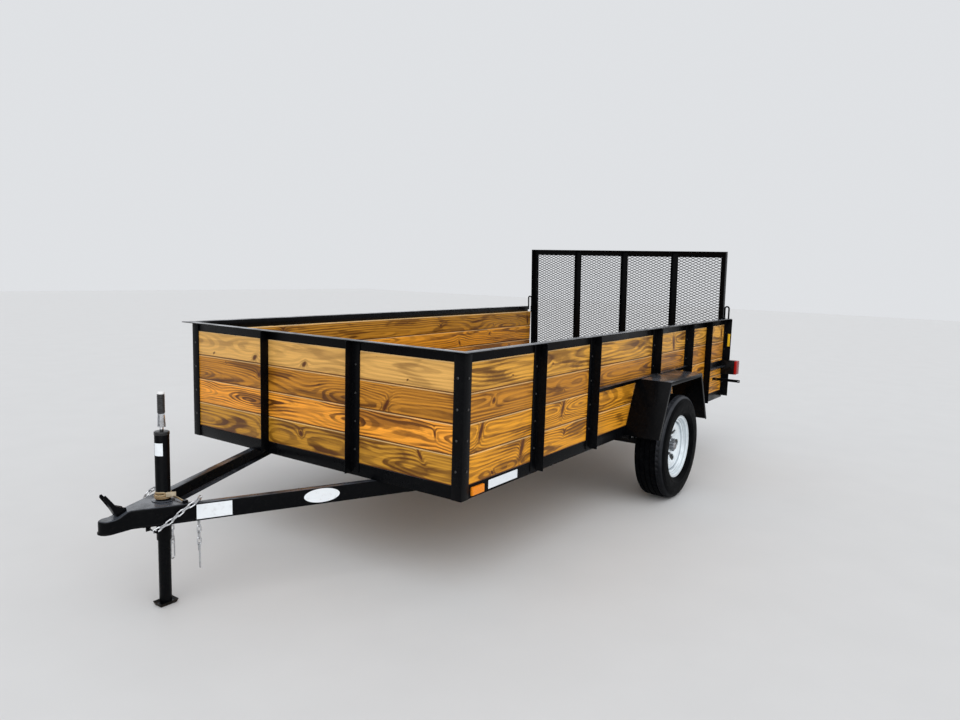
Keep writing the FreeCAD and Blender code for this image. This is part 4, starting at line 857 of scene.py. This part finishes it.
# Painted shade in rings at set radii, where the barrel steps and grooves would be in shadow; the noise mixed
# in is dirt.
step_shade_rings = ((0.0, 0.0), (0.14, 0.05), (0.22, 0.75), (0.30, 0.10), (0.42, 0.0), (0.47, 0.65), (0.53, 0.05),
              (0.60, 0.45), (0.66, 0.0), (0.78, 0.0), (0.84, 0.60), (0.90, 0.0), (1.0, 0.0))
painted_step_shade = from_axle.between(0.150, 0.210).ramp(*((out, (share,) * 3) for out, share in step_shade_rings))
drive(silver, base_color=(painted_step_shade * 0.75 + dirt * 0.25).mix(rgb(0.86, 0.93, 0.97), rgb(0.16, 0.18, 0.20)),
      roughness=dirt * 0.25 + flake * 0.1 + 0.24, normal=place.noise(220, 3).bump(0.0003, 0.25))
wear(left_rim, silver, "wheel_left")
wear(right_rim, silver, "wheel_right")
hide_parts("rim_left")
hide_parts("rim_right")
finish_with(plated("dull_zinc", (0.40, 0.41, 0.43), (0.12, 0.12, 0.13)), ("hub_left", "hub_right"))

# Fenders: folded steel plate in three flats over each tyre with a turned down outer lip, welded to
# the short rail above it and to the frame's side.
eased(("fenders",), 0.0018)
finish_with(powder_coat, ("fenders",))

# Ramp gate: a frame of steel angle with three uprights, hinged on pins under its bottom bar and
# leaning forward a little. Bent rods in sleeves at its edges drop behind the rear posts.
gate_steel = ("gate_frame", "gate_uprights", "hinge_barrels", "hinge_ears", "gate_latches")
eased(("gate_frame", "gate_uprights"), 0.0016)
eased(("hinge_barrels", "hinge_ears", "gate_latches"), 0)
finish_with(powder_coat, gate_steel)

# Gate sheet: expanded steel, slit and drawn out into diamonds 51 mm long and 23 mm high. It is welded
# inside the frame's back legs, behind the uprights, and leans and folds with the gate.
hinge_x, hinge_z, gate_lean = -2.41333, 0.5015, radians(2.7)
diamond_long, diamond_high = 0.0508, 0.0234
strand, strand_depth = 0.0050, 0.0030
sheet_x = hinge_x - 0.0207
sheet_start, sheet_low, sheet_high, sheet_half = -0.950, 0.5185, 1.6765, 0.9390
diamonds_across, diamonds_up = 38, 52
sheet = start("plane", "gate_sheet", size=1, rotation=(pi / 2, 0, 0), scale=(strand_depth, strand, 1))
alone(sheet)
bpy.ops.object.mode_set(mode="EDIT")
bpy.ops.mesh.select_all(action="SELECT")
bpy.ops.transform.translate(value=(sheet_x, sheet_start, sheet_low - diamond_high / 2))
for rise in (diamond_high / 2, -diamond_high / 2):
    bpy.ops.mesh.extrude_region_move(TRANSFORM_OT_translate={"value": (0, diamond_long / 2, rise)})
bpy.ops.object.mode_set(mode="OBJECT")
choose(sheet, lambda centre, normal: abs(normal.y) > 0.9)
bpy.ops.mesh.delete(type="ONLY_FACE")
bpy.ops.mesh.select_all(action="SELECT")
bpy.ops.mesh.normals_make_consistent(inside=False)
bpy.ops.object.mode_set(mode="OBJECT")
second = copied("second_strand", sheet)
second.data.transform(Matrix.Translation((0, diamond_long / 2, diamond_high / 2)))
sheet = joined("gate_sheet", [sheet, second])
modify(sheet, "ARRAY", count=diamonds_across, use_relative_offset=False, use_constant_offset=True,
       constant_offset_displace=(0, diamond_long, 0), use_merge_vertices=True, merge_threshold=0.00001)
modify(sheet, "ARRAY", count=diamonds_up, use_relative_offset=False, use_constant_offset=True,
       constant_offset_displace=(0, 0, diamond_high))
alone(sheet)
bpy.ops.object.mode_set(mode="EDIT")
for place, normal in (((0, -sheet_half, 0), (0, -1, 0)), ((0, sheet_half, 0), (0, 1, 0)),
                      ((0, 0, sheet_low), (0, 0, -1)), ((0, 0, sheet_high), (0, 0, 1))):
    bpy.ops.mesh.select_all(action="SELECT")
    bpy.ops.mesh.bisect(plane_co=place, plane_no=normal, clear_outer=True, use_fill=True)
bpy.ops.object.mode_set(mode="OBJECT")
sheet.data.transform(Matrix.Translation((hinge_x, 0, hinge_z)) @ Matrix.Rotation(gate_lean, 4, "Y")
                     @ Matrix.Translation((-hinge_x, 0, -hinge_z)))
smooth(sheet)
wear(sheet, powder_coat, "gate")
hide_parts("gate_mesh")

# Lamps: a moulded black housing and red lens on studs at each rear corner, an amber marker lamp at
# the front of each side, and a yellow reflector on each rear post, facing forward. On the left a bent
# strip below the tail lamp has the holes for a number plate.
lamp_steel = ("lamp_bars", "plate_bracket")
eased(lamp_steel, 0.0014)
eased(("lamp_boxes",), 0.001)
finish_with(powder_coat, lamp_steel)
housing, place = new_finish("black_moulding", specular_ior_level=0.12)
mould = place.noise(500, 2)
grey = place.noise(40, 4).between(0.5, 0.8)
drive(housing, base_color=grey.mix(rgb(0.004, 0.004, 0.0045), rgb(0.012, 0.012, 0.012)),
      roughness=mould * 0.15 + 0.3, normal=mould.bump(0.0002, 0.4))
finish_with(housing, ("lamp_boxes",))


def lens(name, colour, deep, pitch):
    """Moulded lens: clear colour over small prisms."""
    material, place = new_finish(name, specular_ior_level=0.12, coat_weight=0.1, coat_roughness=0.1)
    cells = place.add("TexVoronoi", {"feature": "DISTANCE_TO_EDGE"},
                      {"Vector": place, "Scale": pitch, "Randomness": 0.0})
    edge = cells.between(0.0, 0.12)
    drive(material, base_color=edge.mix(rgb(*deep), rgb(*colour)), roughness=0.22 - edge * 0.08,
          normal=edge.bump(0.0008, 0.6))
    return material


red_lens = lens("red_lens", (0.42, 0.008, 0.007), (0.15, 0.002, 0.002), 170)
amber_lens = lens("amber_lens", (0.95, 0.30, 0.015), (0.55, 0.11, 0.005), 150)
lens_back, lens_low, lens_high, lens_outer = -2.3619, 0.6660, 0.7776, 1.1090
lenses = []
for lens_front, lens_inner in ((-2.3385, 1.0288), (-2.2810, 1.0884)):
    for side in (-1, 1):
        y_low, y_high = sorted((side * lens_inner, side * lens_outer))
        lenses.append(block("lens_cover", (lens_back, y_low, lens_low), (lens_front, y_high, lens_high),
                            0.006, 3))
lens_covers = joined("lens_covers", lenses)
smooth(lens_covers, 50)
wear(lens_covers, red_lens)
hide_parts("lamp_lenses")
eased(("marker_lamps", "reflectors"), 0.0015)
finish_with(amber_lens, ("marker_lamps",))
finish_with(lens("yellow_reflector", (1.0, 0.62, 0.03), (0.75, 0.36, 0.01), 220), ("reflectors",))

# Labels: plain white vinyl, stuck on. An oval and a short strip are on the left tongue member, one
# is wrapped on the jack's tube and a long strip is on the frame's left side.
tongue_turn, tongue_start = radians(25), (2.37807, 0, 0)
rearward = Vector((-cos(tongue_turn), sin(tongue_turn), 0))
outward = Vector((sin(tongue_turn), cos(tongue_turn), 0))
on_member = Matrix((rearward, (0, 0, 1), outward)).transposed().to_4x4()
on_member.translation = tongue_start
vinyl, place = new_finish("white_vinyl", coat_weight=0.3)
worn = place.noise(70, 6).between(0.5, 0.85)
drive(vinyl, base_color=worn.mix(rgb(0.80, 0.84, 0.87), rgb(0.64, 0.66, 0.68)), roughness=worn * 0.2 + 0.25)
label_depth = 0.0006
oval = start("cylinder", "oval_label", vertices=64, radius=1, depth=label_depth,
             location=(0.863, 0.4225, label_depth / 2), scale=(0.084, 0.0325, 1))
oval.data.transform(on_member)
smooth(oval)
member_label = block("member_label", (0.318, 0.389, 0.0), (0.464, 0.453, label_depth), 0.0002)
member_label.data.transform(on_member)
side_label = block("side_label", (0.8910, side_y, 0.4690), (1.1410, side_y + label_depth, 0.5110), 0.0002)
wrap_radius, wrap_width, wrap_height = 0.0303, 0.054, 0.688
jack_label = start("cylinder", "jack_label", vertices=96, radius=wrap_radius, depth=wrap_width,
                   location=(jack_x, 0, wrap_height), end_fill_type="NOTHING")
label_from, label_to = radians(-12), radians(62)


def off_label(centre, normal):
    """The part of the jack's round that the label doesn't cover."""
    place = Vector((centre.x - jack_x, centre.y))
    bearing = Vector((1, 0)).angle_signed(place)
    return not label_from < -bearing < label_to


choose(jack_label, off_label)
bpy.ops.mesh.delete(type="FACE")
bpy.ops.object.mode_set(mode="OBJECT")
modify(jack_label, "SOLIDIFY", thickness=0.0004, offset=1)
smooth(jack_label)
for label in (oval, side_label, member_label, jack_label):
    wear(label, vinyl)

# Studio: a pale floor under an even pale sky, and one broad soft lamp high on the left.
floor = start("plane", "floor", size=60)
floor_paint, place = new_finish("floor", roughness=0.6)
drive(floor_paint, base_color=place.noise(3, 3).mix(rgb(0.60, 0.60, 0.60), rgb(0.64, 0.64, 0.64)))
floor.data.materials.append(floor_paint)
lamp = bpy.data.objects.new("soft_lamp", bpy.data.lights.new("soft_lamp", "SUN"))
bpy.context.scene.collection.objects.link(lamp)
lamp.data.energy = 1.7
lamp.data.angle = radians(80)
lamp.matrix_world = facing((0.6, 0.55, 0.8))
world = bpy.data.worlds.new("studio")
bpy.context.scene.world = world
world.use_nodes = True
world.node_tree.nodes["Background"].inputs["Color"].default_value = (0.95, 0.97, 1.0, 1)
world.node_tree.nodes["Background"].inputs["Strength"].default_value = 0.78
bpy.context.scene.view_settings.view_transform = "Standard"
